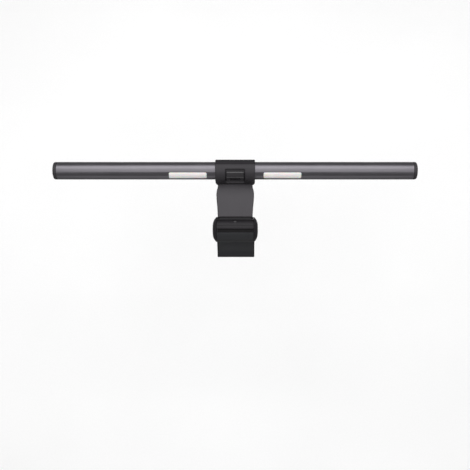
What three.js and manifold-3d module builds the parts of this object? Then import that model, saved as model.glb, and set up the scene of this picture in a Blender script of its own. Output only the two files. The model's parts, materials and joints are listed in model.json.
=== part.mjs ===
// Monitor light bar: a round lamp that turns in a collar, an arm that rests on top of a monitor, and a
// sprung counterweight leg that closes against the monitor's back.
// Millimetres, +Z up, +X along the lamp, -Y towards the person at the desk, +Y behind the monitor.
// The origin is the middle of the pad that rests on the monitor's top edge.
// Angles are in degrees, from the rear (+Y) up towards +Z.
import * as THREE from 'three';
import { mergeVertices } from 'three/addons/utils/BufferGeometryUtils.js';
import Module from 'manifold-3d';

const wasm = await Module();
wasm.setup();

// ---------------------------------------------------------------- driving dimensions

const gap = 0.3; // between pieces that are fixed together
const monitor = { front: -8, back: 8 }; // faces of the monitor that the stored pose holds
const lamp = { y: -36.1, z: 21, length: 500, radius: 12, wall: 1.4, capReach: 5.7 };
const opening = { middle: 250, half: 38 }; // gap in the extrusion for the desk light
const backLight = { from: 38.7, to: 90.8, low: 10, high: 61 }; // one window each side of the collar
const optics = { tilt: -20, plateTop: -0.4, plateBottom: -2, plateHalf: 9.9 };
const port = {
  angle: 12, halfLength: 4.5, halfHeight: 1.6, seat: 10.8, seatHalf: [7.4, 3.1], neckHalf: [8.9, 4.5],
};
const surround = {
  half: 12.3, radius: 14, low: -13, high: 66.5, skirt: 13.1, skirtHalf: 14.2, skirtLow: -60, skirtHigh: 98,
};
const collar = {
  half: 27.25, radius: 15.25, bottom: 2.6, split: 107.5, windowHalf: 13.7, middleBore: 13.4,
  taper: 2.8, sharpness: 5, // the sides move in by taper at the bottom, mostly near it
};
const collarWindow = { low: -29, high: 82 }; // stops the surround half a degree past 15 each way
const bush = { inner: 12.1, outer: 12.9, from: 15.7, to: 25.6 };
const arm = { front: -20.6, back: 24, crown: 10.6, archRadius: 95, wall: 2, nose: 1.9 };
const hinge = { y: 39.5, z: -10, radius: 17.5, inner: 15, half: 25.3, capHalf: 31.5, capDome: 5.4 };
const slot = {
  coverLow: 79.5, ridgeLow: 95, ridgeHigh: 105, coverHigh: 110.5, frameLow: 125.7, screw: 118.5,
};
const leg = { shoulder: 60.5, heel: -164, half: 27.5, rim: 1.6, panel: 2.2 };
const frameEar = { inside: 18.6, outside: 21.6, radius: 13 };
const legEar = { inside: 14.6, outside: 17.4, radius: 12.5 };
const pin = { radius: 3, half: 24.6, running: 0.08 };
const spring = { coil: 6.2, wire: 0.7, turns: 5, pitch: 1.9, start: 2.7 };

const tubeHalf = lamp.length / 2 - lamp.capReach;
const tubeInner = lamp.radius - lamp.wall;
const archCentre = arm.crown - arm.archRadius;

// ---------------------------------------------------------------- finishes

const finish = (color, roughness, metalness) =>
  new THREE.MeshStandardMaterial({ color, roughness, metalness });
const finishes = {
  anodised: finish(0x6f6d73, 0.35, 0.9),
  shell: finish(0x4a484b, 0.55, 0),
  armShell: finish(0x5b595c, 0.55, 0),
  hingeShell: finish(0x353235, 0.5, 0),
  legShell: finish(0x343637, 0.5, 0),
  casting: finish(0x3d3a3d, 0.5, 0.4),
  diffuser: finish(0xf6f3f2, 0.6, 0),
  rubber: finish(0x232223, 0.9, 0),
  board: finish(0x2a4a36, 0.6, 0),
  aluminium: finish(0xb8babd, 0.4, 0.9),
  steel: finish(0x9a9b9e, 0.35, 1),
  nylon: finish(0xd9d6cf, 0.6, 0),
  lead: finish(0x2b2b2d, 0.7, 0),
};

// ---------------------------------------------------------------- solids

const radians = Math.PI / 180;
const polar = (radius, angle, centre = [0, 0]) => [
  centre[0] + radius * Math.cos(angle * radians),
  centre[1] + radius * Math.sin(angle * radians),
];

function arc(radius, from, to, centre = [0, 0], step = 6) {
  const count = Math.max(1, Math.ceil(Math.abs(to - from) / step));
  return Array.from({ length: count + 1 }, (_, i) => polar(radius, from + ((to - from) * i) / count, centre));
}

const sector = (inner, outer, from, to, step) => [
  ...arc(outer, from, to, [0, 0], step),
  ...arc(inner, to, from, [0, 0], step),
];

const tilted = (outline, angle) =>
  outline.map(([y, z]) => polar(Math.hypot(y, z), Math.atan2(z, y) / radians + angle));

// A closed geometry as a solid, turned right side out.
function solid(geometry) {
  const bare = geometry.clone();
  bare.deleteAttribute('normal');
  bare.deleteAttribute('uv');
  const merged = mergeVertices(bare, 1e-4);
  const vertProperties = new Float32Array(merged.attributes.position.array);
  const triVerts = new Uint32Array(merged.index.array);
  const made = new wasm.Manifold(new wasm.Mesh({ numProp: 3, vertProperties, triVerts }));
  if (made.volume() > 0) return made;
  const turned = triVerts.map((_, i) => triVerts[i - (i % 3) + (2 - (i % 3))]);
  return new wasm.Manifold(new wasm.Mesh({ numProp: 3, vertProperties, triVerts: turned }));
}

const shapeOf = (outline) => new THREE.Shape(outline.map(([u, v]) => new THREE.Vector2(u, v)));

// A side view outline of [y, z] points, extruded along X.
function sideways(outline, from, to) {
  const geometry = new THREE.ExtrudeGeometry(shapeOf(outline), { depth: to - from, bevelEnabled: false });
  const alongX = new THREE.Matrix4().set(0, 0, 1, from, 1, 0, 0, 0, 0, 1, 0, 0, 0, 0, 0, 1);
  return solid(geometry.applyMatrix4(alongX));
}

// A plan outline of [x, y] points, extruded along Z.
function upright(outline, from, to) {
  const geometry = new THREE.ExtrudeGeometry(shapeOf(outline), { depth: to - from, bevelEnabled: false });
  return solid(geometry.translate(0, 0, from));
}

function block(low, high) {
  const [width, depth, height] = high.map((value, i) => value - low[i]);
  const middle = high.map((value, i) => (value + low[i]) / 2);
  return solid(new THREE.BoxGeometry(width, depth, height).translate(...middle));
}

// A round rod between two points.
function rod(radius, from, to, sides = 24) {
  const start = new THREE.Vector3(...from);
  const along = new THREE.Vector3(...to).sub(start);
  const geometry = new THREE.CylinderGeometry(radius, radius, along.length(), sides);
  geometry.translate(0, along.length() / 2, 0);
  geometry.applyQuaternion(
    new THREE.Quaternion().setFromUnitVectors(new THREE.Vector3(0, 1, 0), along.clone().normalize()),
  );
  return solid(geometry.translate(start.x, start.y, start.z));
}

// A turned piece: [along, radius] points that start and end on the axis.
function turned(profile, sides, axis) {
  const points = profile.map(([along, radius]) => new THREE.Vector2(radius, along));
  const geometry = new THREE.LatheGeometry(points, sides);
  if (axis === 'x') geometry.rotateZ(-90 * radians);
  if (axis === 'z') geometry.rotateX(90 * radians);
  return solid(geometry);
}

const joined = (pieces) => pieces.reduce((sum, piece) => sum.add(piece));
const cutBy = (body, cutters) => cutters.reduce((left, cutter) => left.subtract(cutter), body);
const bothSides = (make) => [make(-1), make(1)];
const range = (from, to) => [Math.min(from, to), Math.max(from, to)];

function mesh(name, body, material) {
  const { numProp, vertProperties, triVerts } = body.getMesh();
  const positions = new Float32Array((vertProperties.length / numProp) * 3);
  for (let i = 0; i < positions.length / 3; i++) {
    positions.set(vertProperties.subarray(i * numProp, i * numProp + 3), i * 3);
  }
  const geometry = new THREE.BufferGeometry();
  geometry.setAttribute('position', new THREE.BufferAttribute(positions, 3));
  geometry.setIndex(new THREE.BufferAttribute(new Uint32Array(triVerts), 1));
  geometry.computeVertexNormals();
  const made = new THREE.Mesh(geometry, material);
  made.name = name;
  return made;
}

function group(parts, { y = 0, z = 0, turn = 0 } = {}) {
  const made = new THREE.Group();
  made.position.set(0, y, z);
  made.rotation.x = turn * radians;
  made.add(...parts);
  return made;
}

const nameOf = (side) => (side < 0 ? 'left' : 'right');

// ---------------------------------------------------------------- lamp: origin on its own axis

// Ledges inside the extrusion hold the LED plate at both edges.
function lampTube() {
  const wall = sector(tubeInner, lamp.radius, opening.middle + opening.half,
    opening.middle - opening.half + 360, 5);
  const ledges = [];
  for (const side of [-1, 1]) {
    const [near, far] = range(side * 9.1, side * 10.9);
    for (const [low, high] of [[optics.plateTop + gap, 0.8], [-3.2, optics.plateBottom - gap]]) {
      const corners = [[near, low], [far, low], [far, high], [near, high]];
      ledges.push(sideways(tilted(corners, optics.tilt), -tubeHalf, tubeHalf));
    }
  }
  const windows = bothSides((side) => sideways(sector(9.7, 12.7, backLight.low, backLight.high),
    ...range(side * backLight.from, side * backLight.to)));
  const [neckX, neckZ] = port.neckHalf.map((value) => value + gap);
  const neckCorners = [[7.6, -neckZ], [14, -neckZ], [14, neckZ], [7.6, neckZ]];
  const portHole = sideways(tilted(neckCorners, port.angle), -neckX, neckX);
  const tube = joined([sideways(wall, -tubeHalf, tubeHalf), ...ledges]);
  return mesh('lamp_tube', cutBy(tube, [...windows, portHole]), finishes.anodised);
}

function endCap(side) {
  const face = tubeHalf + gap;
  const end = lamp.length / 2;
  const profile = [
    [face, 0], [face, 7], [face - 6.3, 7], [face - 6.3, 8.8], [face, 8.8], [face, lamp.radius],
    ...arc(2.2, 0, 90, [lamp.radius - 2.2, end - 2.4], 30).map(([radius, along]) => [along, radius]),
    [end, lamp.radius - 3], [end, 0],
  ];
  const cap = mesh(`${nameOf(side)}_end_cap`, turned(profile, 36, 'x'), finishes.shell);
  cap.rotation.z = side < 0 ? Math.PI : 0;
  return cap;
}

// The lens clips in behind the edges of the gap.
function mainDiffuser() {
  const lens = sector(10.1, 11.8, 270 - opening.half + 0.7, 270 + opening.half - 0.7);
  const flange = sector(9.2, 10.3, 270 - opening.half - 5, 270 + opening.half + 5);
  const half = tubeHalf - 0.3;
  const body = sideways(lens, -half, half).add(sideways(flange, -half, half));
  return mesh('main_diffuser', body, finishes.diffuser);
}

function ledCarrier() {
  const { plateTop, plateBottom, plateHalf } = optics;
  const plate = block([-237, -plateHalf, plateBottom], [237, plateHalf, plateTop]);
  return mesh('led_carrier', plate, finishes.aluminium);
}

// LEDs in one row, all along the board.
function mainLedBoard() {
  const top = optics.plateBottom - gap;
  const leds = [];
  for (let x = -227.5; x <= 227.5; x += 13) {
    leds.push(block([x - 1.4, -1.4, top - 1.7], [x + 1.4, 1.4, top - 0.9]));
  }
  const strip = block([-235, -4.5, top - 1], [235, 4.5, top]);
  return mesh('main_led_board', joined([strip, ...leds]), finishes.board);
}

// One curved wall on the screen side throws the light forward onto the desk.
function reflector() {
  const inside = [[5.1, -3.4], [6.7, -4], [7, -5.2], [6.1, -6.4]];
  const outside = [[5.7, -6.5], [6.5, -5.2], [6.3, -4.4], [5.1, -3.9]];
  return mesh('reflector', sideways([...inside, ...outside], -235, 235), finishes.aluminium);
}

// Boards stand in the upper half of the tube, on the side away from the desk light.
function circuitBoard(name, [from, to], halfWidth, components) {
  const parts = components.map(([x, y, width, depth, height]) =>
    block([x - width / 2, y - depth / 2, 4.1], [x + width / 2, y + depth / 2, 4.2 + height]));
  return mesh(name, joined([block([from, -halfWidth, 3], [to, halfWidth, 4.2]), ...parts]), finishes.board);
}

const driverBoard = () => circuitBoard('driver_board', [100, 172], 7, [
  [110, 0, 9, 9, 3.6], [124, 1, 6, 6, 1.2], [136, -2, 7, 7, 3.2], [149, 2, 4, 3, 1.6], [161, 0, 8, 5, 2.6],
]);
const wirelessBoard = () => circuitBoard('wireless_board', [-150, -105], 6, [
  [-117, 0, 12, 9, 1.8], [-132, 1, 5, 5, 1], [-144, -1, 3, 6, 1.4],
]);

// A window, its lens and its LED board, facing +Z before the group turns them.
function backDiffuser(side) {
  const halfAngle = (backLight.high - backLight.low) / 2;
  const lens = sideways(sector(10.2, 11.9, 90 - halfAngle + 1.5, 90 + halfAngle - 1.5),
    ...range(side * (backLight.from + gap), side * (backLight.to - gap)));
  const flange = sideways(sector(9.3, 10.3, 90 - halfAngle - 4, 90 + halfAngle + 4),
    ...range(side * (backLight.from - 2.2), side * (backLight.to + 2.2)));
  return mesh(`${nameOf(side)}_back_diffuser`, lens.add(flange), finishes.diffuser);
}

function backLedBoard(side) {
  const spots = [46, 55.5, 65, 74.5, 84].map((x) =>
    block([side * x - 1.4, -1.4, 7.3], [side * x + 1.4, 1.4, 8.1]));
  const [from, to] = range(side * 40, side * 89.5);
  return mesh(`${nameOf(side)}_back_led_board`, joined([block([from, -3.4, 6.4], [to, 3.4, 7.4]), ...spots]),
    finishes.board);
}

// The inlet faces +Y before the group turns it up to its angle.
function usbReceptacle() {
  const { halfLength, halfHeight } = port;
  const can = block([-halfLength, 3.2, -halfHeight], [halfLength, port.seat - 0.2, halfHeight]);
  const wall = 0.35;
  const mouth = block([wall - halfLength, 5.6, wall - halfHeight], [halfLength - wall, 12, halfHeight - wall]);
  const tongue = block([-3.3, 5.5, -0.35], [3.3, 9.8, 0.35]);
  return mesh('usb_c_receptacle', can.subtract(mouth).add(tongue), finishes.steel);
}

function portBoard() {
  const low = port.halfHeight + gap;
  return mesh('port_board', block([-13, 1.6, low], [13, 8, low + 1]), finishes.board);
}

// A boss on the tube fills the collar's window and carries the plug's seat.
// Its thin skirt runs under the collar.
function portSurround() {
  const { half, radius, low, high, skirt, skirtHalf, skirtLow, skirtHigh } = surround;
  const inner = lamp.radius + gap;
  const around = (outer, from, to) => sector(inner, outer, from - port.angle, to - port.angle);
  const boss = sideways(around(radius, low, high), -half, half);
  const apron = sideways(around(skirt, skirtLow, skirtHigh), -skirtHalf, skirtHalf);
  const [neckX, neckZ] = port.neckHalf;
  const [seatX, seatZ] = port.seatHalf;
  const neck = block([-neckX, 8.4, -neckZ], [neckX, inner + 0.2, neckZ]);
  const seat = block([-seatX, port.seat, -seatZ], [seatX, radius + 1, seatZ]);
  const canHole = block([-port.halfLength - gap, 8, -port.halfHeight - gap],
    [port.halfLength + gap, 13, port.halfHeight + gap]);
  return mesh('port_surround', cutBy(joined([boss, apron, neck]), [seat, canHole]), finishes.hingeShell);
}

// A thin insulated wire through a few points.
function wire(name, points, radius, steps) {
  const route = new THREE.CatmullRomCurve3(points.map((p) => new THREE.Vector3(...p)));
  const section = shapeOf(arc(radius, 0, 300, [0, 0], 60));
  const geometry = new THREE.ExtrudeGeometry(section, { steps, extrudePath: route, bevelEnabled: false });
  return mesh(name, solid(geometry), finishes.lead);
}

const powerRoute = [[13.4, -1, 4.9], [20, -3, 3.4], [60, -5, 1.6], [96, -5, 1.4]];
const signalRoute = [[-13.4, -1, 4.9], [-20, -3, 3.4], [-60, -5, 1.6], [-101, -5, 1.4]];
const powerLead = () => wire('power_lead', powerRoute, 0.7, 20);
const signalLead = () => wire('signal_lead', signalRoute, 0.5, 20);

function lampGroup() {
  const deskLight = group([mainDiffuser(), ledCarrier(), mainLedBoard(), reflector(), driverBoard(),
    wirelessBoard(), powerLead(), signalLead()], { turn: optics.tilt });
  const backLights = group([...bothSides(backDiffuser), ...bothSides(backLedBoard)],
    { turn: (backLight.low + backLight.high) / 2 - 90 });
  const inlet = group([usbReceptacle(), portBoard(), portSurround()], { turn: port.angle });
  return group([lampTube(), ...bothSides(endCap), deskLight, backLights, inlet], { y: lamp.y, z: lamp.z });
}

// ---------------------------------------------------------------- screws

// Pan-head screw: its head hangs below `under`, its shank stands up to `top`.
function screw(name, x, y, under, top, { head = 2.2, shank = 1.25 } = {}) {
  const crown = under - 1.2;
  const profile = [[crown, 0], [crown, head - 0.4], [crown + 0.4, head], [under, head], [under, shank],
    [top, shank], [top, 0]];
  const made = mesh(name, turned(profile, 10, 'z'), finishes.steel);
  made.position.set(x, y, 0);
  return made;
}

const collarScrews = { x: 16, front: -44.5, back: -26.4, under: 0.6, frontTop: 8.8, backTop: 10 };
const armScrews = { x: 17, front: -4, back: 5.8, under: 1.5, top: 7.6 };
const hole = (x, y, low, high, radius = 1.6) => rod(radius, [x, y, low], [x, y, high], 16);

function holesFor({ x, front, back }, low, high, radius) {
  return [-1, 1].flatMap((side) => [front, back].map((y) => hole(side * x, y, low, high, radius)));
}

function screwSet(name, { x, front, back, under, top, frontTop = top, backTop = top }) {
  return bothSides((side) => [
    screw(`${name}_front_${nameOf(side)}`, side * x, front, under, frontTop),
    screw(`${name}_back_${nameOf(side)}`, side * x, back, under, backTop),
  ]).flat();
}

// ---------------------------------------------------------------- collar: origin on the lamp's axis

// Seen from behind, the collar's sides drop straight and curve in near the bottom to the arm's width.
function collarFace() {
  const { radius, half, bottom, taper, sharpness } = collar;
  const drop = lamp.z - bottom;
  const side = [0, 0.35, 0.5, 0.62, 0.72, 0.81, 0.88, 0.94, 1].map((share) =>
    [half - taper * share ** sharpness, -drop * share]);
  const otherSide = side.map(([x, z]) => [-x, z]).reverse();
  const outline = [[half, radius + 1], ...side, ...otherSide, [-half, radius + 1]];
  const geometry = new THREE.ExtrudeGeometry(shapeOf(outline), { depth: 60, bevelEnabled: false });
  return solid(geometry.rotateX(90 * radians).translate(0, 30, 0));
}

// Round over the lamp, straight down behind it, with a rounded front lower edge.
function collarBody() {
  const { radius, half } = collar;
  const bottom = collar.bottom - lamp.z;
  const corner = 6;
  const outline = [...arc(radius, 0, 180, [0, 0], 5),
    ...arc(corner, 180, 270, [corner - radius, bottom + corner], 15), [radius, bottom]];
  const footPocket = block([-22.3, -10.3, bottom - 1], [22.3, 16, bottom + 3.7]);
  const seats = bothSides((side) =>
    rod(bush.outer + gap, [side * (bush.from - gap), 0, 0], [side * (bush.to + gap), 0, 0], 60));
  const window = sideways(sector(0, 30, collarWindow.low, collarWindow.high, 20).slice(0, -6).concat([[0, 0]]),
    -collar.windowHalf, collar.windowHalf);
  const screwHoles = holesFor(collarScrews, -5, 13).map((cutter) => cutter.translate([0, -lamp.y, -lamp.z]));
  const middle = surround.skirtHalf + gap;
  const bores = [rod(lamp.radius + 0.4, [-30, 0, 0], [30, 0, 0], 60),
    rod(collar.middleBore, [-middle, 0, 0], [middle, 0, 0], 60)];
  return cutBy(sideways(outline, -half, half).intersect(collarFace()),
    [...bores, ...seats, window, footPocket, ...screwHoles]);
}

// The joint line runs along the top, in front of the crown, and under the lamp.
function collarFrontRegion(inset) {
  const far = 60;
  const start = [-3 - inset, 0];
  const crown = polar(far, collar.split + (inset ? 1.4 : 0));
  return [[-inset, 0], crown, [-far, far], [-far, -far], [start[0], -far], start];
}

function collarParts() {
  const body = collarBody();
  const front = body.intersect(sideways(collarFrontRegion(gap), -40, 40));
  const rear = body.subtract(sideways(collarFrontRegion(0), -40, 40));
  const ring = sector(bush.inner, bush.outer, 254, 606, 6);
  const bushes = bothSides((side) => mesh(`${nameOf(side)}_friction_bush`,
    sideways(ring, ...range(side * bush.from, side * bush.to)), finishes.nylon));
  return [mesh('collar_housing', rear, finishes.shell), mesh('collar_front_cover', front, finishes.shell),
    ...bushes];
}

// ---------------------------------------------------------------- arm

const archTop = (y, inset = 0) => archCentre + Math.sqrt((arm.archRadius - inset) ** 2 - y * y);

function archLine(from, to, inset, count = 10) {
  return Array.from({ length: count + 1 }, (_, i) => {
    const y = from + ((to - from) * i) / count;
    return [y, archTop(y, inset)];
  });
}

// Half widths of the arm in plan: widest over the monitor, waisted at the collar.
function armPlan(inset) {
  const halfWidths = [[-24, 24], [-17, 24.3], [-12, 25.4], [-6, 26.1], [2, 25.7], [14, 24.6], [28, 24]];
  const side = new THREE.SplineCurve(halfWidths.map(([y, x]) => new THREE.Vector2(x - inset, y)));
  const edge = side.getPoints(18).map((p) => [p.x, p.y]);
  return [...edge, ...edge.map(([x, y]) => [-x, y]).reverse()];
}

function armCover() {
  const { front, back, wall, nose } = arm;
  const noseTop = archTop(back);
  const outline = [[front, 2], ...archLine(front, back, 0), ...arc(nose, 80, 0, [back, noseTop - nose], 20),
    [back + nose, 4.6], [back + 0.3, 0.8], [13, 0.8], [10, 2]];
  const hollow = [[front - 1, -2], ...archLine(front - 1, back - 1, wall), [29, archTop(back - 1, wall) - 0.3],
    [29, -2]];
  const outer = sideways(outline, -30, 30).intersect(upright(armPlan(0), -5, 20));
  const inner = sideways(hollow, -30, 30).intersect(upright(armPlan(wall), -5, 20));
  return mesh('arm_cover', outer.subtract(inner), finishes.armShell);
}

const hingeCentre = [hinge.y, hinge.z];
const aroundHinge = (outline) => outline.map(([y, z]) => [y + hinge.y, z + hinge.z]);

// A die-cast spine: a foot under the collar, the beam over the monitor, and a cradle with two ears.
function armFrame() {
  const clearance = arm.wall + gap;
  const beam = [[-46, 2.7], [-46, 6], [-21, 5.4], ...archLine(-19, 23, clearance), [29.5, 3], [26.5, -1],
    [23, 2.2], [11, 2.2], [9, 3.6], [-12, 3.6], [-13, 2.7]];
  const cradle = aroundHinge(sector(14.9, hinge.radius, slot.frameLow, 184, 5));
  const lug = aroundHinge([...sector(12.2, 14.7, 112, 150, 8)]);
  const lugRoot = aroundHinge(sector(12.2, 15.4, 128, 150, 8));
  const ears = bothSides((side) => {
    const span = range(side * frameEar.inside, side * frameEar.outside);
    return rod(frameEar.radius, [span[0], ...hingeCentre], [span[1], ...hingeCentre], 36)
      .add(sideways(aroundHinge(sector(8, 15.5, 128, 182, 9)), ...span));
  });
  const pinHole = rod(pin.radius + gap, [-30, ...hingeCentre], [30, ...hingeCentre]);
  const body = joined([sideways(beam, -21.7, 21.7), sideways(cradle, -hinge.half, hinge.half),
    sideways(lug, -4, 4), sideways(lugRoot, -4, 4), ...ears]);
  return mesh('arm_frame', cutBy(body, [pinHole, coverScrewWay(2.7, 15.6, 20), coverScrewWay(1.4, 11, 18),
    ...holesFor(collarScrews, 0, 12), ...holesFor(armScrews, 0, 8.2)]), finishes.casting);
}

// Closes the arm from below; the counterbores keep the screw heads above the monitor's edge.
function armLiner() {
  const outline = [[-9.4, 1.8], [-9.4, 3.3], [8.6, 3.3], [10.7, 1.9], [22.5, 1.9], [22.5, 0.5], [10, 0.5],
    [8.4, 1.8]];
  const lid = cutBy(sideways(outline, -21.5, 21.5), holesFor(armScrews, 0, 4));
  return mesh('arm_liner', lid, finishes.hingeShell);
}

// A bent plate under the collar whose end hooks over the monitor's front edge.
function lipBracket() {
  const back = monitor.front - 1.8;
  const outline = [[-47, 0.8], [-47, 2.3], [back, 2.3], [back, -9], [back - 2.5, -9], [back - 2.5, -0.7],
    [back - 4, 0.8]];
  const plate = cutBy(sideways(outline, -21.5, 21.5), holesFor(collarScrews, 0, 3));
  return mesh('lip_bracket', plate, finishes.casting);
}

const pad = (name, low, high) => mesh(name, block(low, high), finishes.rubber);
const lipPad = () => pad('lip_pad', [-20, monitor.front - 1.5, -8.5], [20, monitor.front, -0.5]);
const topPad = () => pad('top_pad', [-13, -7, 0], [13, 7, 1.5]);

// ---------------------------------------------------------------- hinge: origin on its own axis

function coverScrewWay(radius, from, to) {
  const start = polar(from, slot.screw, hingeCentre);
  const end = polar(to, slot.screw, hingeCentre);
  return rod(radius, [0, ...start], [0, ...end], 16);
}

function springCover() {
  const { coverLow, ridgeLow, ridgeHigh, coverHigh, frameLow } = slot;
  const layers = [sector(hinge.inner, hinge.radius, coverLow, coverHigh, 4),
    sector(17, 18.1, ridgeLow, ridgeHigh, 4), sector(hinge.inner, 15.9, coverHigh - 1, frameLow - 1.3, 4)];
  const body = joined(layers.map((layer) => sideways(aroundHinge(layer), -hinge.half, hinge.half)));
  return mesh('spring_cover', cutBy(body, [coverScrewWay(2.7, 15.9, 20), coverScrewWay(1.4, 11, 18)]),
    finishes.hingeShell);
}

// The one screw that shows, in the groove across the hinge.
function coverScrew() {
  const made = screw('cover_screw', 0, 0, 0, 3.6, { head: 2.3, shank: 1.1 });
  const [y, z] = polar(16.2, slot.screw, hingeCentre);
  made.position.set(0, y, z);
  made.rotation.x = (slot.screw + 90) * radians;
  return made;
}

function hingeCap(side) {
  const { radius, half, capHalf, capDome } = hinge;
  const inner = half + gap;
  const profile = [[24.9, 0], [24.9, pin.radius + gap], [frameEar.outside + gap, pin.radius + gap],
    [frameEar.outside + gap, 7.5], [inner, 7.5], [inner, radius],
    [capHalf - capDome, radius],
    ...[16.6, 15, 12.6, 9.4, 5].map((up) => [capHalf - capDome * (up / radius) ** 3.6, up]), [capHalf, 0]];
  const cap = mesh(`${nameOf(side)}_hinge_cap`, turned(profile, 40, 'x'), finishes.hingeShell);
  cap.rotation.z = side < 0 ? Math.PI : 0;
  return cap;
}

function torsionSpring(side) {
  const { coil, turns, pitch, start, wire: radius } = spring;
  const atTurn = (t) => {
    const [y, z] = polar(coil, 240 - 360 * t);
    return [side * (start + pitch * t), y, z];
  };
  const loops = Array.from({ length: turns * 12 + 1 }, (_, i) => atTurn(i / 12));
  const frameEnd = [side * start, ...polar(12.6, 168)];
  const legEnd = [side * (start + pitch * turns), ...polar(12.6, 300)];
  const route = new THREE.CatmullRomCurve3([frameEnd, ...loops, legEnd].map((p) => new THREE.Vector3(...p)));
  const section = shapeOf(arc(radius, 0, 288, [0, 0], 72));
  const geometry = new THREE.ExtrudeGeometry(section, { steps: 66, extrudePath: route, bevelEnabled: false });
  return mesh(`${nameOf(side)}_torsion_spring`, solid(geometry), finishes.steel);
}

function ring(name, inner, outer, from, to, material) {
  const bore = rod(inner, [from - 1, 0, 0], [to + 1, 0, 0]);
  return mesh(name, rod(outer, [from, 0, 0], [to, 0, 0]).subtract(bore), material);
}

const washer = (side) => ring(`${nameOf(side)}_hinge_washer`, pin.radius + gap, 8,
  ...range(side * (legEar.outside + gap), side * (frameEar.inside - gap)), finishes.nylon);
const mandrel = () => ring('spring_mandrel', pin.radius + gap, 4.9, -14, 14, finishes.nylon);
const hingePin = () =>
  mesh('hinge_pin', rod(pin.radius, [-pin.half, 0, 0], [pin.half, 0, 0]), finishes.steel);

function clampGroup() {
  const hingeParts = group([hingePin(), mandrel(), ...bothSides(washer), ...bothSides(hingeCap),
    ...bothSides(torsionSpring)], { y: hinge.y, z: hinge.z });
  const collarGroup = group(collarParts(), { y: lamp.y, z: lamp.z });
  return group([collarGroup, armFrame(), armCover(), armLiner(), lipBracket(), lipPad(), topPad(), springCover(),
    coverScrew(), ...screwSet('collar_screw', collarScrews), ...screwSet('arm_screw', armScrews), hingeParts]);
}

// ---------------------------------------------------------------- leg

// Back and front of the leg in side view: waisted under the barrel, flared at the foot.
const legBack = new THREE.SplineCurve([[52.3, -22.4], [46.4, -33], [42.4, -46], [41.3, -60], [44, -73],
  [50.6, -86], [59.6, -96.6]].map(([y, z]) => new THREE.Vector2(y, z)));
const legFront = [[52, -99.4], [40, -97.8], [27, -95.6], [17.5, -91.5], [13.5, -85.5],
  [13.5, -58], [16, -44], [20, -28], [23.2, -16]];

function legOutline() {
  const back = legBack.getPoints(24).map((p) => [p.x, p.y]);
  return [...back, [59.4, -98], [58.2, -99.2], ...legFront, [39.5, -12]];
}

// The back line moved inwards, from share `from` to share `to` of its length.
function legBackLine(inset, from, to, count = 18) {
  return Array.from({ length: count + 1 }, (_, i) => {
    const t = from + ((to - from) * i) / count;
    const point = legBack.getPoint(t);
    const along = legBack.getTangent(t);
    return [point.x + along.y * inset, point.y - along.x * inset];
  });
}

const panelSpan = { from: 0.16, to: 0.965 };

function legPanelRegion(extra) {
  const { from, to } = panelSpan;
  const reach = extra ? 0.006 : 0;
  const line = (inset) => legBackLine(inset, from - reach, to + reach);
  return [...line(-6), ...line(leg.panel + extra).reverse()];
}

// Room inside the leg for the weight, or the weight itself when inset is larger.
function weightOutline(inset) {
  return [...legBackLine(leg.panel + 1.2 + inset, 0.26, 0.8), [41 - inset, -92.6 + inset], [24, -91 + inset],
    [17 + inset, -85 + inset], [16.5 + inset, -58], [19 + inset, -44], [23.5 + inset, -32 - inset]];
}

const legScrews = { x: 15, z: -50, under: 14.2, top: 27 };
const legScrewWay = (side, radius, from, to) =>
  rod(radius, [side * legScrews.x, from, legScrews.z], [side * legScrews.x, to, legScrews.z], 16);

function legShell() {
  const outline = legOutline();
  const barrel = (radius) => rod(radius, [-40, ...hingeCentre], [40, ...hingeCentre], 72);
  const wide = sideways(outline, -leg.half, leg.half).subtract(barrel(hinge.radius + 0.6));
  const neck = sideways(outline, -hinge.half, hinge.half).subtract(barrel(hinge.inner));
  const drum = sideways(aroundHinge(sector(hinge.inner, hinge.radius, leg.heel, leg.shoulder, 5)),
    -hinge.half, hinge.half);
  const apron = [sector(13.4, 15.4, 50, leg.shoulder, 6), sector(13.4, 14.6, 50, 90, 6)].map((part) =>
    sideways(aroundHinge(part), -hinge.half, hinge.half));
  const ears = bothSides((side) => {
    const span = range(side * legEar.inside, side * legEar.outside);
    return rod(legEar.radius, [span[0], ...hingeCentre], [span[1], ...hingeCentre], 36)
      .add(sideways(aroundHinge([[0, 0], ...arc(15.6, -150, 50, [0, 0], 8)]), ...span));
  });
  const panelBed = sideways(legPanelRegion(gap), -leg.half + leg.rim, leg.half - leg.rim);
  const cavity = sideways(weightOutline(0), -24, 24)
    .add(sideways(legBackLine(1, 0.27, 0.78).concat(legBackLine(5, 0.27, 0.78).reverse()), -24, 24));
  const holes = bothSides((side) => legScrewWay(side, 1.8, 8, 28)).concat(
    bothSides((side) => legScrewWay(side, 3, 8, legScrews.under + gap)));
  const pinBore = rod(pin.radius + pin.running, [-40, ...hingeCentre], [40, ...hingeCentre]);
  const shell = cutBy(joined([wide, neck, drum, ...apron, ...ears]), [panelBed, cavity, pinBore, ...holes]);
  return mesh('leg_shell', shell, finishes.legShell);
}

function legRearPanel() {
  const half = leg.half - leg.rim - gap;
  return mesh('leg_rear_panel', sideways(legPanelRegion(0), -half, half).intersect(
    sideways(legOutline(), -half, half)), finishes.legShell);
}

const counterweight = () => mesh('counterweight', cutBy(sideways(weightOutline(0.5), -23.6, 23.6),
  bothSides((side) => legScrewWay(side, 1.7, 8, 28))), finishes.steel);

const legPad = () => pad('leg_pad', [-20, monitor.back, -84], [20, 13.2, -60]);

function legScrew(side) {
  const length = legScrews.top - legScrews.under;
  const made = screw(`leg_screw_${nameOf(side)}`, 0, 0, 0, length, { head: 2.6, shank: 1.4 });
  made.position.set(side * legScrews.x, legScrews.under, legScrews.z);
  made.rotation.x = -90 * radians;
  return made;
}

const legGroup = () => group([legShell(), legRearPanel(), counterweight(), legPad(), ...bothSides(legScrew)]);

export default group([lampGroup(), clampGroup(), legGroup()]);
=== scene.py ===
import json
import math

import bmesh
import bpy
from mathutils import Matrix, Vector


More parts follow.
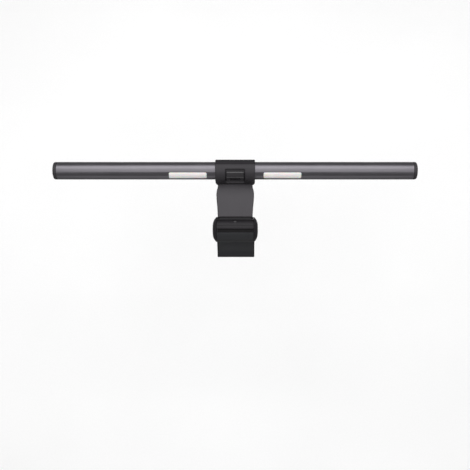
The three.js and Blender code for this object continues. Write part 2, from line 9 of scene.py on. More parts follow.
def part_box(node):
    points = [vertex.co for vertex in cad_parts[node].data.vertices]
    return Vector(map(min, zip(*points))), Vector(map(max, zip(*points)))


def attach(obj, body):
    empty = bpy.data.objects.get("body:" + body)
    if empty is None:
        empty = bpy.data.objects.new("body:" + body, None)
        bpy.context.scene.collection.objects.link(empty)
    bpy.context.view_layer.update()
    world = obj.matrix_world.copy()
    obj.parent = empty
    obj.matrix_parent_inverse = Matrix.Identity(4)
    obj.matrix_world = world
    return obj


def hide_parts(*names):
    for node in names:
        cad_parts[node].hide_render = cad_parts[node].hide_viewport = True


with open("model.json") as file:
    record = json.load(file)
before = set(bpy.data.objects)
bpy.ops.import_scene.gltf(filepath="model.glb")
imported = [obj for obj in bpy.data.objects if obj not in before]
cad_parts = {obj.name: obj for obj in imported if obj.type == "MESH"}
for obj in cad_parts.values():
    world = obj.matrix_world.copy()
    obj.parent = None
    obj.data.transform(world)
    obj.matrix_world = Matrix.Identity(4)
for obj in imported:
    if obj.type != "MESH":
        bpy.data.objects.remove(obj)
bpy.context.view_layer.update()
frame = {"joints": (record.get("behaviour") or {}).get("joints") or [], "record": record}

mm = 0.001
record = frame["record"]
bodyOf = {node: body for body, members in record["behaviour"]["bodies"].items() for node in members}
joints = {joint["name"]: joint for joint in frame["joints"]}


def axisOf(joint):
    place = Vector(joints[joint]["pos_m"]) / mm
    return (place.y, place.z)


def reach(node):
    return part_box(node)[1].x / mm  # how far the node goes along the bar, in mm


# Camera: behind the monitor, looking forward and down over its top edge

cameraSettings = dict(aside=-0.0135, behind=0.3078, above=1.0266, down=75.9, lens=58.83, shift=-0.0212)


def makeCamera(settings):
    data = bpy.data.cameras.new("camera")
    camera = bpy.data.objects.new("camera", data)
    bpy.context.scene.collection.objects.link(camera)
    camera.location = (settings["aside"], settings["behind"], settings["above"])
    camera.rotation_euler = (math.radians(90 - settings["down"]), 0, math.pi)
    data.sensor_width = 36
    data.lens = settings["lens"]
    data.shift_x = settings["shift"]
    bpy.context.scene.camera = camera


makeCamera(cameraSettings)
print("camera placed")


# Finishes

def linear(hexText):
    channels = [int(hexText[i:i + 2], 16) / 255 for i in (1, 3, 5)]
    return [c / 12.92 if c <= 0.04045 else ((c + 0.055) / 1.055) ** 2.4 for c in channels] + [1]


def addNode(tree, kind, links=None, inputs=None, **settings):
    node = tree.nodes.new(kind)
    for name, value in settings.items():
        setattr(node, name, value)
    for name, value in (inputs or {}).items():
        node.inputs[name].default_value = value
    for name, socket in (links or {}).items():
        tree.links.new(socket, node.inputs[name])
    return node


# A finish has a grain (size and depth in mm) and slow patches. Both move its colour and its roughness a
# little.
def makeFinish(name, shades, roughness, grain, patch=30, stretch=(1, 1, 1), shader=None):
    material = bpy.data.materials.new(name)
    material.use_nodes = True
    tree = material.node_tree
    principled = tree.nodes["Principled BSDF"]
    for socket, value in (shader or {}).items():
        principled.inputs[socket].default_value = value
    place = addNode(tree, "ShaderNodeTexCoord")
    drawn = addNode(tree, "ShaderNodeMapping", {"Vector": place.outputs["Object"]}, {"Scale": stretch})
    fine = addNode(tree, "ShaderNodeTexNoise", {"Vector": drawn.outputs["Vector"]},
                   {"Scale": 1 / (grain[0] * mm), "Detail": 3})
    slow = addNode(tree, "ShaderNodeTexNoise", {"Vector": place.outputs["Object"]},
                   {"Scale": 1 / (patch * mm), "Detail": 4})
    both = addNode(tree, "ShaderNodeMath", {0: fine.outputs["Fac"], 1: slow.outputs["Fac"]}, operation="ADD")
    share = addNode(tree, "ShaderNodeMapRange", {"Value": both.outputs["Value"]},
                    {"From Min": 0.7, "From Max": 1.3})
    colour = addNode(tree, "ShaderNodeMix", {"Factor": share.outputs["Result"]}, data_type="RGBA")
    colour.inputs["A"].default_value = linear(shades[0])
    colour.inputs["B"].default_value = linear(shades[1])
    gloss = addNode(tree, "ShaderNodeMapRange", {"Value": share.outputs["Result"]},
                    {"To Min": roughness[0], "To Max": roughness[1]})
    bump = addNode(tree, "ShaderNodeBump", {"Height": fine.outputs["Fac"]}, {"Distance": grain[1] * mm})
    tree.links.new(colour.outputs["Result"], principled.inputs["Base Color"])
    tree.links.new(gloss.outputs["Result"], principled.inputs["Roughness"])
    tree.links.new(bump.outputs["Normal"], principled.inputs["Normal"])
    return material


# Solder mask over copper: the tracks under it show as slightly lighter green lines.
def circuitBoard():
    material = makeFinish("solder mask on glass fibre", ("#123524", "#1b4a30"), (0.3, 0.42), (0.8, 0.005))
    tree = material.node_tree
    place = addNode(tree, "ShaderNodeTexCoord")
    tracks = addNode(tree, "ShaderNodeTexBrick", {"Vector": place.outputs["Object"]},
                     {"Scale": 1 / (9 * mm), "Mortar Size": 0.03, "Color1": linear("#1d5236"),
                      "Color2": linear("#174128"), "Mortar": linear("#3b7a52")})
    tree.links.new(tracks.outputs["Color"], tree.nodes["Principled BSDF"].inputs["Base Color"])
    return material


metal = {"Metallic": 1}
dullPlastic = {"IOR": 1.53, "Specular IOR Level": 0.22}  # its fine grain hides part of the reflection
finishes = {
    # Extruded, brushed along its length and dyed: long faint draw lines under a soft metal sheen.
    "anodised": makeFinish("satin anodised aluminium", ("#88858b", "#928f95"), (0.3, 0.38), (0.5, 0.004),
                           stretch=(0.012, 1, 1), shader=metal),
    # Spark-eroded mould: a fine even grain that only dulls the plastic. Drawn at 0.6 mm, the real one is
    # finer.
    "shell": makeFinish("spark-grained ABS", ("#312f32", "#373538"), (0.42, 0.52), (0.6, 0.02),
                        shader=dullPlastic),
    # The collar's front cover: the housing's grained ABS, a little coarser and rougher. Its darker colour is
    # painted shade on the cover's forward-facing side.
    "shadedFrontShell": makeFinish("spark-grained ABS, coarser, painted darker as shade", ("#232124", "#29272a"), (0.5, 0.6), (0.8, 0.025),
                             shader=dullPlastic),
    # The same grain on a lighter grey, a little more matt.
    "arm_shell": makeFinish("spark-grained polycarbonate", ("#403e41", "#464447"), (0.5, 0.6), (0.6, 0.02),
                            shader={**dullPlastic, "IOR": 1.56}),
    # Smoother mould: darker, and the highlights on its round parts are tighter.
    "hinge_shell": makeFinish("satin ABS", ("#1f1d20", "#252326"), (0.32, 0.42), (0.7, 0.01),
                              shader=dullPlastic),
    # Polished mould: only the boss round the inlet has it, and its edge shines.
    "boss": makeFinish("polished ABS", ("#252326", "#2b292c"), (0.12, 0.18), (0.7, 0.002),
                       shader={"IOR": 1.58, "Specular IOR Level": 1.0}),
    "leg_shell": makeFinish("satin ABS of the leg", ("#2b2b2d", "#313234"), (0.4, 0.5), (0.7, 0.01),
                            shader=dullPlastic),
    # Soft-touch lacquer with a cold tint takes a broad soft highlight.
    "leg_panel": makeFinish("lacquered ABS", ("#2a2b2d", "#303134"), (0.34, 0.42), (0.8, 0.006),
                            shader={**dullPlastic, "Coat Weight": 0.15, "Coat Roughness": 0.3}),
    # Powder coat leaves a slight orange peel on the casting and the bent plate.
    "casting": makeFinish("powder-coated zinc casting", ("#212022", "#272628"), (0.5, 0.6), (1.2, 0.03),
                          shader=dullPlastic),
    "plate": makeFinish("powder-coated steel plate", ("#242325", "#2a292b"), (0.48, 0.58), (1.2, 0.03),
                        shader=dullPlastic),
    # Milky right through, with a soft moulded skin.
    "diffuser": makeFinish("opal polycarbonate", ("#e6e1df", "#efebe9"), (0.3, 0.4), (1.5, 0.004),
                           shader={"IOR": 1.58, "Subsurface Weight": 0.35, "Subsurface Scale": 0.002,
                                   "Emission Color": linear("#fbf7f4"), "Emission Strength": 0.04}),
    # Matt and slightly dusty, as soft silicone is.
    "rubber": makeFinish("silicone rubber", ("#1a191a", "#222122"), (0.7, 0.85), (0.5, 0.02),
                         shader={"IOR": 1.43, "Specular IOR Level": 0.15}),
    "board": circuitBoard(),
    # Cutter marks run along the plate.
    "aluminium": makeFinish("milled aluminium", ("#b5b6b9", "#c6c7ca"), (0.3, 0.42), (0.5, 0.004),
                            stretch=(0.05, 1, 1), shader=metal),
    # Bright zinc is patchy where the bath left it thicker.
    "steel": makeFinish("zinc-plated steel", ("#8d8e92", "#a3a4a8"), (0.28, 0.4), (0.6, 0.006), shader=metal),
    "blackSteel": makeFinish("black-oxide steel", ("#525153", "#626163"), (0.35, 0.48), (0.6, 0.006),
                             shader=metal),
    "nylon": makeFinish("natural nylon", ("#d2cec4", "#ded9cf"), (0.4, 0.52), (0.8, 0.01),
                        shader={"IOR": 1.53}),
    "lead": makeFinish("PVC wire jacket", ("#1c1c1e", "#262628"), (0.4, 0.5), (0.8, 0.006),
                       shader={"IOR": 1.53}),
    "gold": makeFinish("gold-plated copper", ("#c79a45", "#d8ae5c"), (0.25, 0.35), (0.5, 0.003),
                       shader=metal),
    "phosphor": makeFinish("silicone over yellow phosphor", ("#e3cf62", "#eddc7c"), (0.45, 0.55), (0.4, 0.01),
                           shader={"IOR": 1.5}),
    "epoxy": makeFinish("moulded black epoxy", ("#18181a", "#212123"), (0.5, 0.62), (0.4, 0.01)),
}
print("finishes made:", len(finishes))


# Outlines in mm; (y, z) points around an axis, angles in degrees from the rear (+Y) up to +Z

def polar(radius, angle, centre=(0, 0)):
    turn = math.radians(angle)
    return (centre[0] + radius * math.cos(turn), centre[1] + radius * math.sin(turn))


def arc(radius, start, end, centre=(0, 0), step=3):
    count = max(1, math.ceil(abs(end - start) / step))
    return [polar(radius, start + (end - start) * i / count, centre) for i in range(count + 1)]


def sector(inner, outer, start, end, step=3):
    return arc(outer, start, end, step=step) + arc(inner, end, start, step=step)


def tilted(outline, angle):
    return [polar(math.hypot(y, z), math.degrees(math.atan2(z, y)) + angle) for y, z in outline]


def rectangle(low, high):
    return [(low[0], low[1]), (high[0], low[1]), (high[0], high[1]), (low[0], high[1])]


def roundedRectangle(halfWide, halfHigh, radius, step=12):
    corners = [(1, 1, 0), (-1, 1, 90), (-1, -1, 180), (1, -1, 270)]
    points = []
    for u, v, start in corners:
        points += arc(radius, start, start + 90, (u * (halfWide - radius), v * (halfHigh - radius)), step)
    return points


def catmull(points, share):
    place = share * (len(points) - 1)
    i = min(int(place), len(points) - 2)
    t = place - i
    nearest = (points[max(i - 1, 0)], points[i], points[i + 1], points[min(i + 2, len(points) - 1)])

    def smooth(p0, p1, p2, p3):
        v0, v1 = (p2 - p0) / 2, (p3 - p1) / 2
        return (2 * p1 - 2 * p2 + v0 + v1) * t ** 3 + (-3 * p1 + 3 * p2 - 2 * v0 - v1) * t ** 2 + v0 * t + p1

    return tuple(smooth(*values) for values in zip(*nearest))


def curveThrough(points, count):
    return [catmull(points, i / count) for i in range(count + 1)]


def withoutRepeats(outline):
    return [p for i, p in enumerate(outline) if math.dist(p, outline[i - 1]) > 1e-4]


# Every corner of the outline is cut back by `size` and replaced by a small curve.
def eased(outline, size, steps=3):
    points = [Vector(p) for p in outline]
    result = []
    for i, corner in enumerate(points):
        back = points[i - 1] - corner
        ahead = points[(i + 1) % len(points)] - corner
        cut = min(size, back.length * 0.45, ahead.length * 0.45)
        start = corner + back.normalized() * cut
        end = corner + ahead.normalized() * cut
        for k in range(steps + 1):
            t = k / steps
            result.append(tuple(start * (1 - t) ** 2 + corner * (2 * t * (1 - t)) + end * t ** 2))
    return result


def inset(outline, distance):
    points = [Vector(p) for p in outline]
    area = sum(a.x * b.y - b.x * a.y for a, b in zip(points, points[1:] + points[:1]))
    sign = 1 if area > 0 else -1
    moved = []
    for i, point in enumerate(points):
        before = (point - points[i - 1]).normalized()
        after = (points[(i + 1) % len(points)] - point).normalized()
        normals = [Vector((-d.y, d.x)) * sign for d in (before, after)]
        shift = (normals[0] + normals[1]) * distance / max(1 + normals[0].dot(normals[1]), 0.4)
        moved.append(tuple(point + shift))
    return moved


# Shapes in mm

def loft(loops, closed=False):
    shape = bmesh.new()
    rings = [[shape.verts.new(point) for point in loop] for loop in loops]
    pairs = list(zip(rings, rings[1:])) + ([(rings[-1], rings[0])] if closed else [])
    for first, second in pairs:
        for i in range(len(first)):
            j = (i + 1) % len(first)
            shape.faces.new((first[i], first[j], second[j], second[i]))
    if not closed:
        shape.faces.new(rings[0][::-1])
        shape.faces.new(rings[-1])
    bmesh.ops.recalc_face_normals(shape, faces=shape.faces)
    return shape


# A side outline of (y, z) points carried along X, with its two end edges rounded by `edge`.
def bar(outline, low, high, edge=0, steps=4):
    outline = withoutRepeats(outline)
    stations = [(0, 0)]
    if edge:
        turns = [math.radians(90 * i / steps) for i in range(steps + 1)]
        stations = [(edge * (1 - math.cos(t)), edge * (1 - math.sin(t))) for t in turns]
    ends = [(low + along, inwards) for along, inwards in stations]
    ends += [(high - along, inwards) for along, inwards in reversed(stations)]
    return loft([[(x, y, z) for y, z in (inset(outline, inwards) if inwards else outline)]
                 for x, inwards in ends])


def block(low, high, edge=0):
    return bar(rectangle(low[1:], high[1:]), low[0], high[0], edge, 2)


# A front outline of (x, z) points carried along Y.
def slab(outline, low, high):
    outline = withoutRepeats(outline)
    return loft([[(x, y, z) for x, z in outline] for y in (low, high)])


def rod(radius, start, end, sides=36):
    start, end = Vector(start), Vector(end)
    turn = Vector((0, 0, 1)).rotation_difference(end - start).to_matrix()
    circle = [turn @ Vector((*polar(radius, 360 * i / sides), 0)) for i in range(sides)]
    return loft([[place + point for point in circle] for place in (start, end)])


wellPast = 40  # mm, how far a cutter goes each way


def across(radius, half=wellPast, sides=36):
    return rod(radius, (-half, 0, 0), (half, 0, 0), sides)


# A turned shape around X: (along, radius) points that start and end on the axis.
def turned(profile, sides=72):
    shape = bmesh.new()
    rings = []
    for along, radius in profile:
        count = 1 if radius < 1e-6 else sides
        rings.append([shape.verts.new((along, *polar(radius, 360 * i / sides))) for i in range(count)])
    for first, second in zip(rings, rings[1:]):
        for i in range(sides):
            j = (i + 1) % sides
            corners = (first[i % len(first)], first[j % len(first)], second[j % len(second)],
                       second[i % len(second)])
            corners = list(dict.fromkeys(corners))
            if len(corners) > 2:
                shape.faces.new(corners)
    bmesh.ops.recalc_face_normals(shape, faces=shape.faces)
    return shape


# A sleeve around X with broken edges.
def sleeve(inner, outer, low, high, edge=0.2, sides=64):
    profile = [(low, inner + edge), (low, outer - edge), (low + edge, outer), (high - edge, outer),
               (high, outer - edge), (high, inner + edge), (high - edge, inner), (low + edge, inner)]
    return loft([[(x, *polar(radius, 360 * i / sides)) for i in range(sides)] for x, radius in profile], True)


# A block on a round surface: rounded corners as seen from outside, and a rounded outer edge.
def curvedBlock(half, inner, outer, low, high, corner, edge=0, middle=0):
    length = outer * math.radians(high - low)
    near = [corner * (1 - math.cos(math.radians(15 * i))) for i in range(7)]
    count = max(2, math.ceil((high - low) / 3))
    between = [corner + (length - 2 * corner) * i / count for i in range(1, count)]
    loops = []
    for distance in near + between + [length - d for d in reversed(near)]:
        fromEnd = min(distance, length - distance)
        wide = half - corner + math.sqrt(max(corner ** 2 - max(corner - fromEnd, 0) ** 2, 0))
        top = outer - edge + math.sqrt(max(edge ** 2 - max(edge - fromEnd, 0) ** 2, 0))
        turns = [math.radians(22.5 * i) for i in range(5)] if edge else [0]
        rim = [(wide - edge + edge * math.cos(t), top - edge + edge * math.sin(t)) for t in turns]
        section = [(wide, inner)] + rim + [(-x, r) for x, r in reversed(rim)] + [(-wide, inner)]
        angle = low + math.degrees(distance / outer)
        loops.append([(middle + x, *polar(r, angle)) for x, r in section])
    return loft(loops)


def moved(shape, matrix):
    bmesh.ops.transform(shape, matrix=matrix, verts=shape.verts)
    bmesh.ops.recalc_face_normals(shape, faces=shape.faces)
    return shape


def tiltedShape(shape, angle):
    return moved(shape, Matrix.Rotation(math.radians(angle), 4, "X"))


halfTurn = Matrix.Rotation(math.pi, 4, "Z")  # carries a right-hand shape to the left
bothSides = ((-1, "left"), (1, "right"))


# From shapes in mm to finished pieces in the row's frame

def makeObject(name, shape):
    mesh = bpy.data.meshes.new(name)
    shape.to_mesh(mesh)
    shape.free()
    made = bpy.data.objects.new(name, mesh)
    bpy.context.scene.collection.objects.link(made)
    return made


def bake(piece):
    bpy.context.view_layer.update()
    evaluated = piece.evaluated_get(bpy.context.evaluated_depsgraph_get())
    mesh = bpy.data.meshes.new_from_object(evaluated)
    old = piece.data
    piece.modifiers.clear()
    piece.data = mesh
    bpy.data.meshes.remove(old)


def combine(piece, shapes, operation):
    tools = [makeObject("tool", shape) for shape in shapes]
    for tool in tools:
        step = piece.modifiers.new("combine", "BOOLEAN")
        step.operation = operation
        step.solver = "EXACT"
        step.object = tool
    bake(piece)
    for tool in tools:
        bpy.data.meshes.remove(tool.data)


def join(name, shapes):
    piece = makeObject(name, shapes[0])
    if shapes[1:]:
        combine(piece, shapes[1:], "UNION")
    return piece


def cut(piece, shapes):
    combine(piece, shapes, "DIFFERENCE")


mergeDistance = 0.002  # mm
flatAngle = 0.3  # degrees


# Merges what a cut leaves over, then breaks the sharp edges.
def soften(piece, width, angle=32, segments=2):
    tidy = bmesh.new()
    tidy.from_mesh(piece.data)
    bmesh.ops.remove_doubles(tidy, verts=tidy.verts, dist=mergeDistance)
    bmesh.ops.dissolve_limit(tidy, angle_limit=math.radians(flatAngle), verts=tidy.verts, edges=tidy.edges)
    tidy.to_mesh(piece.data)
    tidy.free()
    bevel = piece.modifiers.new("bevel", "BEVEL")
    bevel.width = width
    bevel.segments = segments
    bevel.limit_method = "ANGLE"
    bevel.angle_limit = math.radians(angle)
    bake(piece)


def shade(piece, sharp):
    smooth = bmesh.new()
    smooth.from_mesh(piece.data)
    for face in smooth.faces:
        face.smooth = True
    for edge in smooth.edges:
        edge.smooth = edge.calc_face_angle(0) < math.radians(sharp)
    smooth.to_mesh(piece.data)
    smooth.free()


def frameAt(axis, angle=0):
    return Matrix.Translation((0, *axis)) @ Matrix.Rotation(math.radians(angle), 4, "X")


lampAxis = axisOf("lamp_tilt")
hingeAxis = axisOf("leg_hinge")
deskTilt = -20  # the desk light looks down and forward
wallAngle = 35.5  # the wall lights look back and up
inletAngle = 12
frames = {
    "row": Matrix.Identity(4),
    "lamp": frameAt(lampAxis),
    "desk": frameAt(lampAxis, deskTilt),
    "wall": frameAt(lampAxis, wallAngle - 90),
    "inlet": frameAt(lampAxis, inletAngle),
    "hinge": frameAt(hingeAxis),
}


# Puts a piece in its place, gives it its finish, and has it stand for its CAD nodes.
def install(piece, place, finish, replaced, body=None, sharp=30):
    piece.data.transform(Matrix.Scale(mm, 4) @ frames[place])
    shade(piece, sharp)
    piece.data.materials.clear()
    piece.data.materials.append(finishes[finish])
    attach(piece, body or bodyOf[replaced[0]])
    if replaced:
        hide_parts(*replaced)


# Geometry node trees

def newTree(name, inputs):
    tree = bpy.data.node_groups.new(name, "GeometryNodeTree")
    tree.interface.new_socket("Geometry", in_out="OUTPUT", socket_type="NodeSocketGeometry")
    tree.interface.new_socket("Geometry", in_out="INPUT", socket_type="NodeSocketGeometry")
    for title, kind in inputs.items():
        tree.interface.new_socket(title, in_out="INPUT", socket_type="NodeSocket" + kind)
    return tree, tree.nodes.new("NodeGroupInput").outputs


def endTree(tree, geometry, material):
    real = addNode(tree, "GeometryNodeRealizeInstances", {"Geometry": geometry})
    painted = addNode(tree, "GeometryNodeSetMaterial", {
        "Geometry": real.outputs["Geometry"], "Material": material})
    addNode(tree, "NodeGroupOutput", {"Geometry": painted.outputs["Geometry"]})


# Copies of one small piece in rows and columns, added to whatever the object already is.
def copiesTree():
    tree, given = newTree("copies in rows", {
        "Piece": "Object", "Columns": "Int", "Rows": "Int", "Pitch X": "Float", "Pitch Y": "Float",
        "Centre": "Vector", "Turn": "Rotation", "Material": "Material"})

    def spanOf(count, pitch):
        steps = addNode(tree, "ShaderNodeMath", {0: given[count]}, {1: 1}, operation="SUBTRACT")
        span = addNode(tree, "ShaderNodeMath", {0: steps.outputs[0], 1: given[pitch]}, operation="MULTIPLY")
        return span.outputs[0]

    grid = addNode(tree, "GeometryNodeMeshGrid", {
        "Vertices X": given["Columns"], "Vertices Y": given["Rows"],
        "Size X": spanOf("Columns", "Pitch X"), "Size Y": spanOf("Rows", "Pitch Y")})
    source = addNode(tree, "GeometryNodeObjectInfo", {"Object": given["Piece"]})
    copies = addNode(tree, "GeometryNodeInstanceOnPoints", {
        "Points": grid.outputs["Mesh"], "Instance": source.outputs["Geometry"]})
    placed = addNode(tree, "GeometryNodeTransform", {
        "Geometry": copies.outputs["Instances"], "Translation": given["Centre"], "Rotation": given["Turn"]})
    both = addNode(tree, "GeometryNodeJoinGeometry")
    tree.links.new(given["Geometry"], both.inputs["Geometry"])
    tree.links.new(placed.outputs["Geometry"], both.inputs["Geometry"])
    endTree(tree, both.outputs["Geometry"], given["Material"])
    return tree


# A round wire along a line of points.
def wireTree():
    tree, given = newTree("wire along a line", {"Radius": "Float", "Sides": "Int", "Material": "Material"})
    line = addNode(tree, "GeometryNodeMeshToCurve", {"Mesh": given["Geometry"]})
    section = addNode(tree, "GeometryNodeCurvePrimitiveCircle", {
        "Resolution": given["Sides"], "Radius": given["Radius"]})
    wire = addNode(tree, "GeometryNodeCurveToMesh", {
        "Curve": line.outputs["Curve"], "Profile Curve": section.outputs["Curve"]}, {"Fill Caps": True})
    endTree(tree, wire.outputs["Mesh"], given["Material"])
    return tree


trees = {"copies": copiesTree(), "wire": wireTree()}


def runTree(piece, tree, values):
    step = piece.modifiers.new(tree, "NODES")
    step.node_group = trees[tree]
    for item in trees[tree].interface.items_tree:
        if item.in_out == "INPUT" and item.name in values:
            step[item.identifier] = values[item.name]
    bake(piece)


def addCopies(piece, source, values):
    runTree(piece, "copies", {"Piece": source, "Rows": 1, "Pitch Y": 0.0, "Turn": (0.0, 0.0, 0.0), **values})


def emptyObject(name):
    return makeObject(name, bmesh.new())


print("geometry node trees made:", len(trees))


# Lamp

lampHalf = reach("right_end_cap")
tubeSettings = dict(radius=12, wall=1.4, slitMiddle=250, slitHalf=38, ledge=(9.1, 10.9),
                    upperLedge=(-0.1, 0.8), lowerLedge=(-3.2, -2.3), edge=0.2)
windowSettings = dict(near=38.7, far=90.8, low=10, high=61, corner=2.2)
windowHalf = (windowSettings["far"] - windowSettings["near"]) / 2
windowMiddle = (windowSettings["far"] + windowSettings["near"]) / 2
inletSettings = dict(seat=10.8, seatHalf=(7.4, 3.1), neckHalf=(8.9, 4.5), canHalf=(4.5, 1.6), fit=0.3)


# The extrusion is open below for the desk light. Ledges inside it hold the LED plate.
def makeTube(radius, wall, slitMiddle, slitHalf, ledge, upperLedge, lowerLedge, edge):
    half = reach("lamp_tube")
    start, end = slitMiddle + slitHalf, slitMiddle - slitHalf + 360
    skin = arc(radius, start, end, step=1.5) + arc(radius - wall, end, start, step=4)
    shapes = [bar(skin, -half, half)]
    for near, far in (ledge, (-ledge[1], -ledge[0])):
        for low, high in (upperLedge, lowerLedge):
            shapes.append(bar(tilted(rectangle((near, low), (far, high)), deskTilt), -half, half))
    tube = join("lampTube", shapes)
    window = windowSettings
    holes = [curvedBlock(windowHalf, radius - 3, radius + 1, window["low"], window["high"], window["corner"],
                         middle=side * windowMiddle) for side in (-1, 1)]
    neckX, neckZ = (size + inletSettings["fit"] for size in inletSettings["neckHalf"])
    holes.append(tiltedShape(block((-neckX, 7.6, -neckZ), (neckX, 14, neckZ)), inletAngle))
    cut(tube, holes)
    soften(tube, edge)
    install(tube, "lamp", "anodised", ["lamp_tube"])


# A moulded plug with a collar inside the tube, a rounded rim and a slightly domed face.
endCapSettings = dict(joint=0.3, plug=(7, 8.8), depth=6.3, rim=2.4, faceRadius=9.6, dome=0.3, edge=0.2)


def makeEndCaps(joint, plug, depth, rim, faceRadius, dome, edge):
    face = reach("lamp_tube") + joint
    radius = faceRadius + rim
    crown = lampHalf - dome
    rounded = [(crown - rim + rim * math.sin(t), faceRadius + rim * math.cos(t))
               for t in (math.radians(11.25 * i) for i in range(9))]
    domed = [(crown + dome * (1 - (r / faceRadius) ** 2), r) for r in (8, 6, 4, 2, 0)]
    profile = [(face, 0), (face, plug[0]), (face - depth, plug[0]), (face - depth, plug[1] - edge),
               (face - depth + edge, plug[1]), (face, plug[1]), (face, radius - edge), (face + edge, radius)]
    for side, name in bothSides:
        shape = turned(profile + rounded + domed, 96)
        cap = makeObject(name + "EndCap", shape if side > 0 else moved(shape, halfTurn))
        install(cap, "lamp", "shell", [name + "_end_cap"])


# The lens clips in behind both edges of the slit. Fine ribs inside it spread the light along the bar.
deskLensSettings = dict(outer=11.8, shelf=10.3, inner=9.2, middle=270, lensHalf=37.3, flangeHalf=43, ribs=18,
                        ribDepth=0.25)


def makeDeskLens(outer, shelf, inner, middle, lensHalf, flangeHalf, ribs, ribDepth):
    half = reach("main_diffuser")
    start, end = middle + flangeHalf, middle - flangeHalf
    inside = [polar(inner + (ribDepth if i % 2 else 0), start + (end - start) * i / (2 * ribs))
              for i in range(2 * ribs + 1)]
    outline = (arc(outer, middle - lensHalf, middle + lensHalf, step=2) + [polar(shelf, middle + lensHalf)]
               + [polar(shelf, start)] + inside + [polar(shelf, end), polar(shelf, middle - lensHalf)])
    lens = makeObject("deskLens", bar(outline, -half, half))
    install(lens, "desk", "diffuser", ["main_diffuser"], sharp=25)


wallLensSettings = dict(outer=11.9, shelf=10.2, inner=9.3, fit=0.3, fitAngle=1.5, flange=2.2, flangeAngle=4)


def makeWallLenses(outer, shelf, inner, fit, fitAngle, flange, flangeAngle):
    halfAngle = (windowSettings["high"] - windowSettings["low"]) / 2
    corner = windowSettings["corner"]
    for side, name in bothSides:
        middle = side * windowMiddle
        face = curvedBlock(windowHalf - fit, shelf, outer, 90 - halfAngle + fitAngle,
                           90 + halfAngle - fitAngle, corner - fit, 0.25, middle)
        back = curvedBlock(windowHalf + flange, inner, shelf + 0.1, 90 - halfAngle - flangeAngle,
                           90 + halfAngle + flangeAngle, corner, 0, middle)
        lens = join(name + "WallLens", [face, back])
        install(lens, "wall", "diffuser", [name + "_back_diffuser"])


makeTube(**tubeSettings)
makeEndCaps(**endCapSettings)
makeDeskLens(**deskLensSettings)
makeWallLenses(**wallLensSettings)
print("tube, end caps and lenses made")


# A boss on the tube fills the collar's window. Its thin skirt runs under the collar as the lamp turns.
surroundSettings = dict(half=12.3, inner=12.3, outer=14, low=-25, high=54.5, corner=1.8,
                        skirtHalf=14.2, skirt=13.1, skirtLow=-72, skirtHigh=86, bay=(11, 13.35, 13.5),
                        crown=1.2, edge=0.25)


def makeSurround(half, inner, outer, low, high, corner, skirtHalf, skirt, skirtLow, skirtHigh, bay, crown,
                 edge):
    neckX, neckZ = inletSettings["neckHalf"]
    seatX, seatZ = inletSettings["seatHalf"]
    canX, canZ = (size + inletSettings["fit"] for size in inletSettings["canHalf"])
    seat = inletSettings["seat"]
    piece = join("inletBoss", [
        curvedBlock(half, inner, outer, low, high, corner, crown),
        slab(roundedRectangle(neckX, neckZ, 1.2), 8.4, inner + 0.4)])
    # The skirt is dark and matt so that the gap above the boss shows dark. This is partly a real dark skirt
    # and partly painted shade in that gap.
    apron = makeObject("inletSkirt", curvedBlock(skirtHalf, inner + 0.1, skirt, skirtLow, skirtHigh, 1, 0.2))
    cut(apron, [curvedBlock(half - 0.2, inner - 2, outer, low + 1, high - 1, corner)])
    bayHalf, bayFloor, bayTop = bay  # a shallow step across the boss, round the plug's seat
    cut(piece, [curvedBlock(bayHalf, bayFloor, outer + 1, low - 20, bayTop, 0.6),
                slab(roundedRectangle(seatX, seatZ, seatZ), seat, outer + 1),
                slab(roundedRectangle(canX, canZ, canZ), 8, outer + 1)])
    soften(piece, edge)
    install(piece, "inlet", "boss", ["port_surround"])
    install(apron, "inlet", "hinge_shell", [], body="lamp")


# A drawn steel can, a tongue and a row of contacts on each face of the tongue.
receptacleSettings = dict(back=3.2, front=10.6, wall=0.35, floor=5.6, tongueHalf=(3.3, 0.35), tongueEnd=9.8)
contactSettings = dict(count=12, pitch=0.5, half=(0.14, 1.3, 0.03), middle=8.2)


def makeInlet(back, front, wall, floor, tongueHalf, tongueEnd):
    canX, canZ = inletSettings["canHalf"]
    can = makeObject("inletCan", slab(roundedRectangle(canX, canZ, canZ), back, front))
    cut(can, [slab(roundedRectangle(canX - wall, canZ - wall, canZ - wall), floor, front + 1)])
    tongue = slab(roundedRectangle(*tongueHalf, 0.15), floor - 0.1, tongueEnd)
    combine(can, [tongue], "UNION")
    soften(can, 0.08)
    install(can, "inlet", "steel", ["usb_c_receptacle"])


def makeContacts(count, pitch, half, middle):
    thickness = receptacleSettings["tongueHalf"][1]
    contact = makeObject("contact", block(tuple(-h for h in half), half, 0.02))
    contacts = emptyObject("inletContacts")
    for side in (-1, 1):
        addCopies(contacts, contact, {"Columns": count, "Pitch X": pitch, "Material": finishes["gold"],
                                      "Centre": (0.0, middle, side * thickness)})
    bpy.data.meshes.remove(contact.data)
    install(contacts, "inlet", "gold", [], body="lamp")


makeSurround(**surroundSettings)
makeInlet(**receptacleSettings)
makeContacts(**contactSettings)
print("inlet made")


# Collar: round over the lamp, straight behind it, its sides curving in to the arm near the bottom

collarSettings = dict(radius=15.25, bottom=2.6, corner=6, taper=2.8, sharpness=5, bore=12.4, middleBore=13.4,
                      middleHalf=14.5, seat=13.2, seatFrom=15.4, seatTo=25.9, windowHalf=13.7, windowLow=-29,
                      windowHigh=82, split=107.5, seam=0.3, seamAngle=1.4, step=3, rim=1.1, edge=0.3)
footPocket = dict(low=(-22.3, -10.3), high=(22.3, 16), depth=3.7)
collarScrewPlaces = dict(x=16, front=-44.5, back=-26.4)
armScrewPlaces = dict(x=17, front=-4, back=5.8)


def screwHoles(places, low, high, radius=1.6):
    spots = [(side * places["x"], places[row]) for side in (-1, 1) for row in ("front", "back")]
    return [rod(radius, (*spot, low), (*spot, high), 24) for spot in spots]


